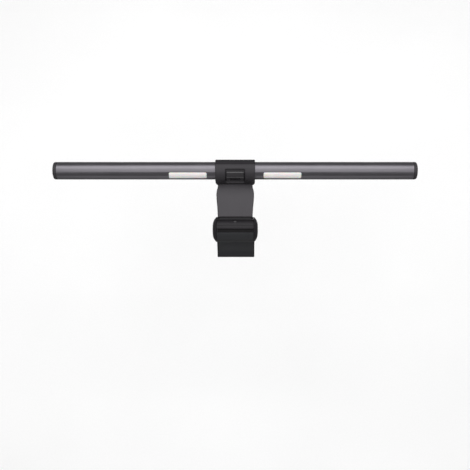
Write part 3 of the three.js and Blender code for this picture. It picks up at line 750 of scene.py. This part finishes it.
def makeCollar(radius, bottom, corner, taper, sharpness, bore, middleBore, middleHalf, seat, seatFrom, seatTo,
               windowHalf, windowLow, windowHigh, split, seam, seamAngle, step, rim, edge):
    half = reach("collar_housing")
    base = bottom - lampAxis[1]
    rows = 12  # down each straight side, so that the taper can bend it
    front = [(-radius, (base + corner) * i / rows) for i in range(rows)]
    back = [(radius, base * (1 - i / rows)) for i in range(rows)]
    outline = (arc(radius, 0, 180, step=2) + front[1:]
               + arc(corner, 180, 270, (corner - radius, base + corner), 10) + back)
    shape = bar(outline, -half, half, rim, 5)
    for vertex in shape.verts:
        down = min(max(vertex.co.z / base, 0), 1)
        vertex.co.x *= 1 - taper / half * down ** sharpness
    pocket = block((*footPocket["low"], base - 1), (*footPocket["high"], base + footPocket["depth"]))
    cutters = [across(bore, 30, 120), across(middleBore, middleHalf, 120),
               curvedBlock(windowHalf, 5, radius + 2, windowLow, windowHigh, 2), pocket]
    cutters += [rod(seat, (side * seatFrom, 0, 0), (side * seatTo, 0, 0), 120) for side in (-1, 1)]
    toLamp = Matrix.Translation((0, -lampAxis[0], -lampAxis[1]))
    cutters += [moved(hole, toLamp) for hole in screwHoles(collarScrewPlaces, -5, 13)]
    far = 60  # beyond the collar on every side

    def frontRegion(gap):
        under = -step - gap
        opening = polar(far, split + (seamAngle if gap else 0))
        return bar([(-gap, 0), opening, (-far, far), (-far, -far), (under, -far), (under, 0)],
                   -wellPast, wellPast)

    housing = makeObject("collarHousing", shape)
    cut(housing, cutters)
    cover = bpy.data.objects.new("collarFrontCover", housing.data.copy())
    bpy.context.scene.collection.objects.link(cover)
    combine(cover, [frontRegion(seam)], "INTERSECT")
    cut(housing, [frontRegion(0)])
    for piece, finish, node in ((housing, "shell", "collar_housing"),
                                (cover, "shadedFrontShell", "collar_front_cover")):
        soften(piece, edge, 40)
        install(piece, "lamp", finish, [node], sharp=35)


# A nylon ring, split at the front so that it grips the tube.
bushSettings = dict(inner=12.1, outer=12.9, start=254, end=606, near=15.7, far=25.6, edge=0.15)


def makeBushes(inner, outer, start, end, near, far, edge):
    for side, name in bothSides:
        low, high = sorted((side * near, side * far))
        bush = makeObject(name + "Bush", bar(sector(inner, outer, start, end), low, high, edge, 2))
        install(bush, "lamp", "nylon", [name + "_friction_bush"])


makeCollar(**collarSettings)
makeBushes(**bushSettings)
print("collar made")


# Arm

arch = dict(front=-20.6, back=24, crown=10.6, radius=95)


def archTop(y, under=0):
    centre = arch["crown"] - arch["radius"]
    return centre + math.sqrt((arch["radius"] - under) ** 2 - y * y)


def archLine(start, end, under, count=16):
    return [(y, archTop(y, under)) for y in (start + (end - start) * i / count for i in range(count + 1))]


# Seen from above: widest over the monitor's edge, waisted at the collar.
armCoverSettings = dict(wall=2, corner=1.8, insideCorner=0.9, nose=1.9, lip=0.8,
                        plan=[(-24, 24), (-17, 24.3), (-12, 25.4), (-6, 26.1), (2, 25.7), (14, 24.6),
                              (28, 24)])


# From one foot over two rounded shoulders to the other foot, as (x, z) points.
def portal(half, foot, top, radius, step):
    return ([(half, foot)] + arc(radius, 0, 90, (half - radius, top - radius), step)
            + arc(radius, 90, 180, (radius - half, top - radius), step) + [(-half, foot)])


def makeArmCover(wall, corner, insideCorner, nose, lip, plan):
    line = curveThrough(plan, 90)

    def halfAt(y):
        for (y0, half0), (y1, half1) in zip(line, line[1:]):
            if y0 <= y <= y1:
                return half0 + (half1 - half0) * (y - y0) / (y1 - y0)

    def lowAt(y):
        if y > arch["back"] + 0.3:
            return 0.8 + 3.8 * (y - arch["back"] - 0.3) / (nose - 0.3)
        return 2 - 1.2 * min(max((y - 10) / 3, 0), 1)

    def topAt(y):
        over = max(y - arch["back"], 0)
        return archTop(min(y, arch["back"])) - nose + math.sqrt(nose ** 2 - over ** 2)

    def ceilingAt(y):
        ceiling = archTop(min(y, arch["back"] - 1), wall) - 0.05 * max(y - arch["back"] + 1, 0)
        return min(ceiling, topAt(y) - lip)

    def sectionAt(y):
        half, low, ceiling = halfAt(y), lowAt(y), ceilingAt(y)
        outside = portal(half, low, topAt(y), corner, 15)
        inside = portal(half - wall, min(low, ceiling - insideCorner - 0.1), ceiling, insideCorner, 30)
        return [(x, y, z) for x, z in outside + inside[::-1]]

    steps = 24
    flat = [arch["front"] + (arch["back"] - arch["front"]) * i / steps for i in range(steps + 1)]
    rounded = [arch["back"] + nose * math.sin(math.radians(angle)) for angle in (15, 30, 45, 60, 75, 88)]
    cover = makeObject("armCover", loft([sectionAt(y) for y in flat + rounded]))
    install(cover, "row", "arm_shell", ["arm_cover"], sharp=35)


# A die-cast spine: a foot under the collar, the beam over the monitor, and a cradle with two ears.
frameSettings = dict(half=21.7, under=2.3, cradle=(14.9, 125.7, 184), lugHalf=4, earRadius=13, earFrom=18.6,
                     earTo=21.6, pinHole=3.3, edge=0.25)
hingeRadius = 17.5
barrelHalf = reach("spring_cover")
screwAngle = 118.5  # of the one screw in the groove across the hinge


def coverScrewWay(radius, start, end):
    return rod(radius, (0, *polar(start, screwAngle)), (0, *polar(end, screwAngle)), 24)


def rowToHinge(shape):
    return moved(shape, Matrix.Translation((0, -hingeAxis[0], -hingeAxis[1])))


def makeFrame(half, under, cradle, lugHalf, earRadius, earFrom, earTo, pinHole, edge):
    beam = ([(-46, 2.7), (-46, 6), (-21, 5.4)] + archLine(-19, 23, under)
            + [(29.5, 3), (26.5, -1), (23, 2.2), (11, 2.2), (9, 3.6), (-12, 3.6), (-13, 2.7)])
    inner, start, end = cradle
    shapes = [rowToHinge(bar(beam, -half, half)),
              bar(sector(inner, hingeRadius, start, end, 2), -barrelHalf, barrelHalf),
              bar(sector(12.2, 14.95, 112, 150), -lugHalf, lugHalf),
              bar(sector(12.2, 15.4, 128, 150), -lugHalf, lugHalf)]
    for side in (-1, 1):
        low, high = sorted((side * earFrom, side * earTo))
        shapes += [rod(earRadius, (low, 0, 0), (high, 0, 0), 72), bar(sector(8, 15.5, 128, 182), low, high)]
    casting = join("armFrame", shapes)
    holes = screwHoles(collarScrewPlaces, 0, 12) + screwHoles(armScrewPlaces, 0, 8.2)
    holes = [rowToHinge(hole) for hole in holes]
    cut(casting, [across(pinHole, 30), coverScrewWay(2.7, 15.6, 20), coverScrewWay(1.4, 11, 18)] + holes)
    soften(casting, edge, 40)
    install(casting, "hinge", "casting", ["arm_frame"])


# A thin lid closes the arm from below. It is stepped to lie flush with the pad and the screw heads.
linerSettings = dict(half=21.5, edge=0.2,
                     outline=[(-9.4, 1.8), (-9.4, 3.3), (8.6, 3.3), (10.7, 1.9), (22.5, 1.9), (22.5, 0.5),
                              (10, 0.5), (8.4, 1.8)])


def makeLiner(half, outline, edge):
    liner = makeObject("armLiner", bar(outline, -half, half))
    cut(liner, screwHoles(armScrewPlaces, 0, 4))
    soften(liner, edge, 40)
    install(liner, "row", "hinge_shell", ["arm_liner"])


# A bent plate under the collar: its end hooks over the monitor's front edge.
bracketSettings = dict(half=21.5, front=-47, back=-9.8, low=0.8, high=2.3, hook=2.5, tip=-9, bend=1.4)


def makeBracket(half, front, back, low, high, hook, tip, bend):
    brace = 1.5  # the inside of the bend
    outline = [(front, low), (front, high), (back, high), (back, tip), (back - hook, tip),
               (back - hook, low - brace), (back - hook - brace, low)]
    bracket = makeObject("lipBracket", bar(eased(outline, bend, 5), -half, half, 0.3, 2))
    cut(bracket, screwHoles(collarScrewPlaces, 0, 3))
    install(bracket, "row", "plate", ["lip_bracket"])


makeArmCover(**armCoverSettings)
makeFrame(**frameSettings)
makeLiner(**linerSettings)
makeBracket(**bracketSettings)
print("arm made")


# Hinge

coverSettings = dict(inner=15, ridge=18.1, floor=15.9, low=79.5, ridgeLow=95, ridgeHigh=105, high=110.5,
                     floorEnd=124.4, edge=0.35)


def makeSpringCover(inner, ridge, floor, low, ridgeLow, ridgeHigh, high, floorEnd, edge):
    outline = (arc(hingeRadius, low, ridgeLow, step=2) + arc(ridge, ridgeLow, ridgeHigh, step=2)
               + arc(hingeRadius, ridgeHigh, high, step=2) + arc(floor, high, floorEnd, step=2)
               + arc(inner, floorEnd, low, step=2))
    cover = makeObject("springCover", bar(outline, -barrelHalf, barrelHalf))
    cut(cover, [coverScrewWay(2.7, 15.9, 20), coverScrewWay(1.4, 11, 18)])
    soften(cover, edge, 35)
    install(cover, "hinge", "hinge_shell", ["spring_cover"])


# A domed cap with a socket for the frame's ear and the pin's end.
hingeCapSettings = dict(joint=0.3, dome=5.4, power=3.6, socket=7.5, pinRoom=3.3, earFace=21.9, pinEnd=24.9,
                        edge=0.3)


def makeHingeCaps(joint, dome, power, socket, pinRoom, earFace, pinEnd, edge):
    face = barrelHalf + joint
    end = reach("right_hinge_cap")
    domed = [(end - dome * (r / hingeRadius) ** power, r)
             for r in (17.5, 17.35, 17.1, 16.7, 16.2, 15.5, 14.6, 13.4, 11.8, 9.8, 7.2, 4, 0)]
    profile = [(pinEnd, 0), (pinEnd, pinRoom), (earFace, pinRoom), (earFace, socket - edge),
               (earFace + edge, socket), (face, socket), (face, hingeRadius - edge),
               (face + edge, hingeRadius)]
    for side, name in bothSides:
        shape = turned(profile + domed, 112)
        cap = makeObject(name + "HingeCap", shape if side > 0 else moved(shape, halfTurn))
        install(cap, "hinge", "hinge_shell", [name + "_hinge_cap"])


pinSettings = dict(radius=3, half=24.6, chamfer=0.5)
mandrelSettings = dict(inner=3.3, outer=4.9, half=14)
washerSettings = dict(inner=3.3, outer=8, near=17.7, far=18.3, edge=0.12)


def makePin(radius, half, chamfer):
    profile = [(-half, 0), (-half, radius - chamfer), (chamfer - half, radius), (half - chamfer, radius),
               (half, radius - chamfer), (half, 0)]
    install(makeObject("hingePin", turned(profile, 48)), "hinge", "steel", ["hinge_pin"])


def makeMandrel(inner, outer, half):
    mandrel = makeObject("springMandrel", sleeve(inner, outer, -half, half))
    install(mandrel, "hinge", "nylon", ["spring_mandrel"])


def makeWashers(inner, outer, near, far, edge):
    for side, name in bothSides:
        low, high = sorted((side * near, side * far))
        washer = makeObject(name + "Washer", sleeve(inner, outer, low, high, edge))
        install(washer, "hinge", "nylon", [name + "_hinge_washer"])


# Each spring is wound from one wire: a tail on the frame, the coils round the mandrel, a tail on the leg.
springSettings = dict(coil=6.2, radius=0.7, turns=5, pitch=1.9, start=2.7, coilStart=240, tail=12.6,
                      frameTail=168, legTail=300)


def wireObject(name, points, radius, sides, finish):
    line = bmesh.new()
    corners = [line.verts.new(point) for point in points]
    for pair in zip(corners, corners[1:]):
        line.edges.new(pair)
    piece = makeObject(name, line)
    runTree(piece, "wire", {"Radius": radius, "Sides": sides, "Material": finishes[finish]})
    return piece


def makeSprings(coil, radius, turns, pitch, start, coilStart, tail, frameTail, legTail):
    for side, name in bothSides:
        coils = [(side * (start + pitch * t), *polar(coil, coilStart - 360 * t))
                 for t in (i / 32 for i in range(32 * turns + 1))]
        frameEnd = (side * start, *polar(tail, frameTail))
        legEnd = (side * (start + pitch * turns), *polar(tail, legTail))
        guide = [frameEnd] + coils[::8] + [legEnd]
        last = len(guide) - 1
        lead = [catmull(guide, i / (10 * last)) for i in range(10)]
        trail = [catmull(guide, 1 - i / (10 * last)) for i in reversed(range(10))]
        spring = wireObject(name + "Spring", lead + coils + trail, radius, 10, "steel")
        install(spring, "hinge", "steel", [name + "_torsion_spring"], sharp=50)


makeSpringCover(**coverSettings)
makeHingeCaps(**hingeCapSettings)
makePin(**pinSettings)
makeMandrel(**mandrelSettings)
makeWashers(**washerSettings)
makeSprings(**springSettings)
print("hinge made")


# Leg: waisted under the barrel, flared at the foot

legBack = [(52.3, -22.4), (46.4, -33), (42.4, -46), (41.3, -60), (44, -73), (50.6, -86), (59.6, -96.6)]
legSettings = dict(toe=[(59.4, -98), (58.2, -99.2)],
                   front=[(52, -99.4), (40, -97.8), (27, -95.6), (17.5, -91.5), (13.5, -85.5), (13.5, -58),
                          (16, -44), (20, -28), (23.2, -16)],
                   barrel=18.1, drum=(15, -164, 60.5), apron=(13.4, 15.4, 50, 60.5),
                   underApron=(13.4, 14.6, 50, 90), earRadius=12.5, earFrom=14.6, earTo=17.4, earWeb=15.6,
                   pinBore=3.08, rim=1.6, rounding=1.2, edge=0.25)
panelSettings = dict(start=0.16, end=0.965, depth=2.2, fit=0.3, rounding=0.5)
# Where the dark strip of painted shade lies in the gap between the drum and the spring cover.
shadeStripSpread = dict(inner=14.55, outer=14.85, low=60.9, high=89, corner=1.2)
legScrewPlaces = dict(x=15, z=-50, head=14.2)
hollowHalf = 24


# The leg's back line moved inwards by `under`, from one share of its length to another.
def legBackLine(under, start, end, count=40):
    line = []
    for i in range(count + 1):
        share = start + (end - start) * i / count
        here, before, after = (Vector(catmull(legBack, place))
                               for place in (share, max(share - 0.002, 0), min(share + 0.002, 1)))
        along = (after - before).normalized()
        line.append((here.x + along.y * under, here.y - along.x * under))
    return line


def panelOutline(over, extra):
    grow = 0.006 if extra else 0
    start, end = panelSettings["start"] - grow, panelSettings["end"] + grow
    return legBackLine(-over, start, end) + legBackLine(panelSettings["depth"] + extra, start, end)[::-1]


def weightOutline(under):
    return (legBackLine(panelSettings["depth"] + 1.2 + under, 0.26, 0.8)
            + [(41 - under, -92.6 + under), (24, -91 + under), (17 + under, -85 + under), (16.5 + under, -58),
               (19 + under, -44), (23.5 + under, -32 - under)])


def legScrewWays(radius, start, end):
    x, z = legScrewPlaces["x"], legScrewPlaces["z"]
    return [rod(radius, (side * x, start, z), (side * x, end, z), 24) for side in (-1, 1)]


def makeLegShell(toe, front, barrel, drum, apron, underApron, earRadius, earFrom, earTo, earWeb, pinBore, rim,
                 rounding, edge):
    half = reach("leg_shell")
    outline = legBackLine(0, 0, 1, 48) + toe + front + [hingeAxis]
    wide = makeObject("legShell", rowToHinge(bar(outline, -half, half, rounding, 5)))
    cut(wide, [across(barrel, sides=144)])
    neck = makeObject("neck", rowToHinge(bar(outline, -barrelHalf, barrelHalf)))
    inner, heel, shoulder = drum
    cut(neck, [across(inner, sides=144)])
    shapes = [bar(sector(inner, hingeRadius, heel, shoulder, 2), -barrelHalf, barrelHalf),
              bar(sector(*apron), -barrelHalf, barrelHalf), bar(sector(*underApron), -barrelHalf, barrelHalf)]
    for side in (-1, 1):
        low, high = sorted((side * earFrom, side * earTo))
        shapes += [rod(earRadius, (low, 0, 0), (high, 0, 0), 72),
                   bar([(0, 0)] + arc(earWeb, -150, 50, step=4), low, high)]
    neckShape = bmesh.new()
    neckShape.from_mesh(neck.data)
    bpy.data.meshes.remove(neck.data)
    combine(wide, [neckShape] + shapes, "UNION")
    bed = bar(panelOutline(6, panelSettings["fit"]), rim - half, half - rim)
    behindPanel = legBackLine(1, 0.27, 0.78) + legBackLine(5, 0.27, 0.78)[::-1]
    hollow = [bar(outline, -hollowHalf, hollowHalf) for outline in (weightOutline(0), behindPanel)]
    ways = legScrewWays(1.8, 8, 28) + legScrewWays(3, 8, legScrewPlaces["head"] + 0.3)
    cut(wide, [across(pinBore, sides=48)] + [rowToHinge(shape) for shape in [bed] + hollow + ways])
    soften(wide, edge, 40)
    install(wide, "hinge", "leg_shell", ["leg_shell"], sharp=35)
    # A dark matt strip lines the gap between the drum and the spring cover, and slides under the cover. It is
    # painted shade: it darkens the gap the way its shadow would.
    liner = makeObject("gapLiner", curvedBlock(barrelHalf - 1.2, **shadeStripSpread))
    install(liner, "hinge", "rubber", [], body="leg")


def makeLegPanel():
    half = reach("leg_rear_panel")
    panel = makeObject("legRearPanel", bar(panelOutline(0, 0), -half, half, panelSettings["rounding"], 4))
    install(panel, "row", "leg_panel", ["leg_rear_panel"])


def makeWeight():
    half = hollowHalf - 0.4
    weight = makeObject("counterweight", bar(weightOutline(0.5), -half, half, 0.6, 2))
    cut(weight, legScrewWays(1.7, 8, 28))
    install(weight, "row", "steel", ["counterweight"])


makeLegShell(**legSettings)
makeLegPanel()
makeWeight()
print("leg made")


# Rubber pads: a base with raised grip ribs on the face that touches the monitor

padSettings = {
    "lip_pad": dict(name="lipPad", half=(20, 4), depth=1.5, centre=(0, -8, -4.5), turn=(-90, 0, 0), rows=5),
    "top_pad": dict(name="topPad", half=(13, 7), depth=1.5, centre=(0, 0, 0), turn=(180, 0, 0), rows=8),
    "leg_pad": dict(name="legPad", half=(20, 12), depth=5.2, centre=(0, 8, -72), turn=(90, 0, 0), rows=14),
}
ribSettings = dict(height=0.5, width=0.9, pitch=1.6, margin=1.4, corner=1.2)


# Modelled with the gripping face up at z = 0, then turned to face the monitor.
def makePad(node, name, half, depth, centre, turn, rows):
    rib = ribSettings
    base = roundedRectangle(half[0], half[1], rib["corner"])
    pad = makeObject(name, loft([[(x, y, z) for x, y in base] for z in (-depth, -rib["height"])]))
    length = half[0] - rib["margin"]
    radius = rib["width"] / 2
    foot = -rib["height"] - 0.05
    profile = [(-radius, foot)] + arc(radius, 180, 0, (0, -radius), 30) + [(radius, foot)]
    ribObject = makeObject("rib", bar(profile, -length, length, 0.2, 2))
    addCopies(pad, ribObject, {"Columns": 1, "Rows": rows, "Pitch X": 0.0, "Pitch Y": rib["pitch"],
                               "Centre": (0.0, 0.0, 0.0), "Material": finishes["rubber"]})
    bpy.data.meshes.remove(ribObject.data)
    turns = [Matrix.Rotation(math.radians(angle), 4, axis) for angle, axis in zip(turn, "XYZ")]
    pad.data.transform(Matrix.Translation(centre) @ turns[0] @ turns[1] @ turns[2])
    install(pad, "row", "rubber", [node])


for padNode, padValues in padSettings.items():
    makePad(padNode, **padValues)
print("pads made")


# Screws: pan heads with a cross recess and a rolled thread, head down, under-head face at z = 0

screwSettings = {
    "collar": dict(head=2.2, shank=1.25, length=8.2),
    "arm": dict(head=2.2, shank=1.25, length=6.1),
    "leg": dict(head=2.6, shank=1.4, length=12.8),
    "cover": dict(head=2.3, shank=1.1, length=3.6),
}
headHeight = 1.2
threadPitch = 0.9  # drawn twice as coarse as the real thread


def screwShape(head, shank, length):
    crest = [(-headHeight, 0), (-headHeight, head * 0.55), (-headHeight + 0.18, head * 0.84),
             (-headHeight + 0.5, head * 0.98), (-0.35, head), (-0.1, head), (0, head - 0.1), (0, shank)]
    count = int((length - 0.8) / threadPitch)
    thread = []
    for i in range(count):
        start = 0.3 + i * threadPitch
        thread += [(start, shank - 0.22), (start + threadPitch / 2, shank)]
    piece = makeObject("screw", turned(crest + thread + [(length, shank * 0.6), (length, 0)], 24))
    low, high = -headHeight - 1, -headHeight + 0.65
    cut(piece, [block((low, -head * 0.5, -0.28), (high, head * 0.5, 0.28)),
                block((low, -0.28, -head * 0.5), (high, 0.28, head * 0.5))])
    piece.data.transform(Matrix.Rotation(math.radians(-90), 4, "Y"))
    return piece


def makeScrews(name, kind, finish, replaced, place="row", **values):
    source = screwShape(**screwSettings[kind])
    screws = emptyObject(name)
    addCopies(screws, source, {"Columns": 2, "Pitch X": 0.0, "Material": finishes[finish], **values})
    bpy.data.meshes.remove(source.data)
    install(screws, place, finish, replaced)


def screwGrid(places, under):
    middle = (places["front"] + places["back"]) / 2
    return {"Rows": 2, "Pitch X": 2.0 * places["x"], "Pitch Y": places["back"] - places["front"],
            "Centre": (0.0, middle, under)}


corners = [f"{row}_{side}" for row in ("front", "back") for side in ("left", "right")]
makeScrews("collarScrews", "collar", "blackSteel", ["collar_screw_" + corner for corner in corners],
           **screwGrid(collarScrewPlaces, 0.6))
makeScrews("armScrews", "arm", "blackSteel", ["arm_screw_" + corner for corner in corners],
           **screwGrid(armScrewPlaces, 1.5))
makeScrews("legScrews", "leg", "blackSteel", ["leg_screw_left", "leg_screw_right"],
           **{"Pitch X": 2.0 * legScrewPlaces["x"], "Turn": (math.radians(-90), 0.0, 0.0),
              "Centre": (0.0, legScrewPlaces["head"], legScrewPlaces["z"])})
makeScrews("coverScrew", "cover", "blackSteel", ["cover_screw"], "hinge",
           **{"Columns": 1, "Turn": (math.radians(screwAngle + 90), 0.0, 0.0),
              "Centre": (0.0, *polar(16.2, screwAngle))})
print("screws made")


# Inside the lamp

# The LED plate and the reflector keep their CAD outlines, with their edges broken.
plateSettings = dict(low=(-237, -9.9, -2), high=(237, 9.9, -0.4), edge=0.2)
reflectorSettings = dict(half=235, easing=0.5,
                         outline=[(5.1, -3.4), (6.7, -4), (7, -5.2), (6.1, -6.4), (5.7, -6.5), (6.5, -5.2),
                                  (6.3, -4.4), (5.1, -3.9)])
ledSettings = dict(case=1.4, caseHeight=0.7, window=((1.15, 0.6), (1.1, 0.78)), corner=0.4)
deskLedSettings = dict(low=(-235, -4.5, -3.3), high=(235, 4.5, -2.3), middle=0.0, count=36, pitch=13.0,
                       level=-3.3, turn=math.pi)
wallLedSettings = dict(near=40, far=89.5, half=3.4, low=6.4, high=7.4, middle=65.0, count=5, pitch=9.5)


def makePlate(low, high, edge):
    install(makeObject("ledPlate", block(low, high, edge)), "desk", "aluminium", ["led_carrier"])


def makeReflector(half, easing, outline):
    reflector = makeObject("deskReflector", bar(eased(outline, easing), -half, half))
    install(reflector, "desk", "aluminium", ["reflector"])


# A board with its LEDs. Each is a package with a yellow window, inside the CAD's block for that LED.
def makeLeds(name, node, place, low, high, middle, count, pitch, level, turn=0.0):
    install(makeObject(name + "Board", block(low, high, 0.1)), place, "board", [node])
    led = ledSettings
    wide = led["case"]
    case = makeObject("ledCase", block((-wide, -wide, 0), (wide, wide, led["caseHeight"]), 0.1))
    window = makeObject("ledWindow", loft([
        [(x, y, z) for x, y in roundedRectangle(size, size, led["corner"], 30)]
        for size, z in led["window"]]))
    for source, label, finish in ((case, "Cases", "nylon"), (window, "Windows", "phosphor")):
        leds = emptyObject(name + label)
        addCopies(leds, source, {"Columns": count, "Pitch X": pitch, "Turn": (turn, 0.0, 0.0),
                                 "Centre": (middle, 0.0, level), "Material": finishes[finish]})
        bpy.data.meshes.remove(source.data)
        install(leds, place, finish, [], body="lamp")


def makeWallLeds(near, far, half, low, high, middle, count, pitch):
    for side, name in bothSides:
        start, end = sorted((side * near, side * far))
        makeLeds(name + "WallLed", name + "_back_led_board", "wall", (start, -half, low), (end, half, high),
                 side * middle, count, pitch, high)


makePlate(**plateSettings)
makeReflector(**reflectorSettings)
makeLeds("deskLed", "main_led_board", "desk", **deskLedSettings)
makeWallLeds(**wallLedSettings)

# Components: x, y, width, depth and height on each board.
boardSettings = {
    "driver_board": dict(name="driverBoard", start=100, end=172, half=7, parts=[
        (110, 0, 9, 9, 3.6), (124, 1, 6, 6, 1.2), (136, -2, 7, 7, 3.2), (149, 2, 4, 3, 1.6),
        (161, 0, 8, 5, 2.6)]),
    "wireless_board": dict(name="wirelessBoard", start=-150, end=-105, half=6, parts=[
        (-117, 0, 12, 9, 1.8), (-132, 1, 5, 5, 1), (-144, -1, 3, 6, 1.4)]),
}


def makeBoard(node, name, start, end, half, parts):
    low, high = 3, 4.2
    plate = makeObject(name, block((start, -half, low), (end, half, high), 0.1))
    install(plate, "desk", "board", [node])
    shapes = []
    for x, y, width, depth, height in parts:
        outline = roundedRectangle(width / 2, depth / 2, 0.5, 45)
        levels = ((1, high + 0.05), (1, high - 0.2 + height), (0.93, high + height))
        shapes.append(loft([[(x + u * size, y + v * size, z) for u, v in outline] for size, z in levels]))
    chips = join(name + "Chips", shapes)
    install(chips, "desk", "epoxy", [], body="lamp")


for boardNode, boardValues in boardSettings.items():
    makeBoard(boardNode, **boardValues)
inletBoardSettings = dict(low=(-13, 1.6, 1.9), high=(13, 8, 2.9), edge=0.1)
install(makeObject("inletBoard", block(**inletBoardSettings)), "inlet", "board", ["port_board"])

leadSettings = {
    "power_lead": dict(name="powerLead", radius=0.7,
                       route=[(13.4, -1, 4.9), (20, -3, 3.4), (60, -5, 1.6), (96, -5, 1.4)]),
    "signal_lead": dict(name="signalLead", radius=0.5,
                        route=[(-13.4, -1, 4.9), (-20, -3, 3.4), (-60, -5, 1.6), (-101, -5, 1.4)]),
}
for leadNode, lead in leadSettings.items():
    wire = wireObject(lead["name"], curveThrough(lead["route"], 40), lead["radius"], 12, "lead")
    install(wire, "desk", "lead", [leadNode], sharp=50)
print("inside of the lamp made")


# Studio

studio = dict(floorLevel=-0.45, floorHalf=6, worldStrength=0.18)
# Angles round the bar, from behind (+Y) up. The two panels make the streak on the tube, brighter towards the
# front, and the card the line under it. The ceiling panel only fills, so it keeps out of reflections.
lightSettings = {
    "frontPanel": dict(size=(2.6, 0.8), distance=1.1, angle=122, watts=9, shine=True),
    "backPanel": dict(size=(2.6, 1.07), distance=1.1, angle=78, watts=6.6, shine=True),
    "card": dict(size=(1.6, 0.3), distance=1.0, angle=-17, watts=0.6, shine=True),
    "ceiling": dict(size=(3, 3), distance=2.5, angle=90, watts=52, shine=False),
}


def makeStudio(floorLevel, floorHalf, worldStrength):
    corners = [(floorHalf * u, floorHalf * v, floorLevel) for u, v in ((-1, -1), (1, -1), (1, 1), (-1, 1))]
    sheet = bmesh.new()
    sheet.faces.new([sheet.verts.new(corner) for corner in corners])
    floor = makeObject("floor", sheet)
    # Matt seamless paper: a faint fibre grain that evens out at this distance.
    paper = makeFinish("seamless paper", ("#fbfbfb", "#ffffff"), (0.85, 0.95), (3, 0.02), 200)
    floor.data.materials.append(paper)
    floor.visible_glossy = False  # the real bar stands in a dark room
    world = bpy.data.worlds.new("studio")
    world.use_nodes = True
    background = world.node_tree.nodes["Background"]
    background.inputs["Color"].default_value = (1, 1, 1, 1)
    background.inputs["Strength"].default_value = worldStrength
    scene = bpy.context.scene
    scene.world = world
    scene.view_settings.view_transform = "Standard"


def makeLight(name, size, distance, angle, watts, shine):
    data = bpy.data.lights.new(name, "AREA")
    data.shape = "RECTANGLE"
    data.size, data.size_y = size
    data.energy = watts
    light = bpy.data.objects.new(name, data)
    bpy.context.scene.collection.objects.link(light)
    lamp = Vector((0, *lampAxis)) * mm
    light.location = lamp + Vector((0, *polar(distance, angle)))
    light.rotation_euler = (lamp - light.location).to_track_quat("-Z", "Y").to_euler()
    light.visible_camera = False
    light.visible_glossy = shine


makeStudio(**studio)
for lightName, lightValues in lightSettings.items():
    makeLight(lightName, **lightValues)
print("studio lit")
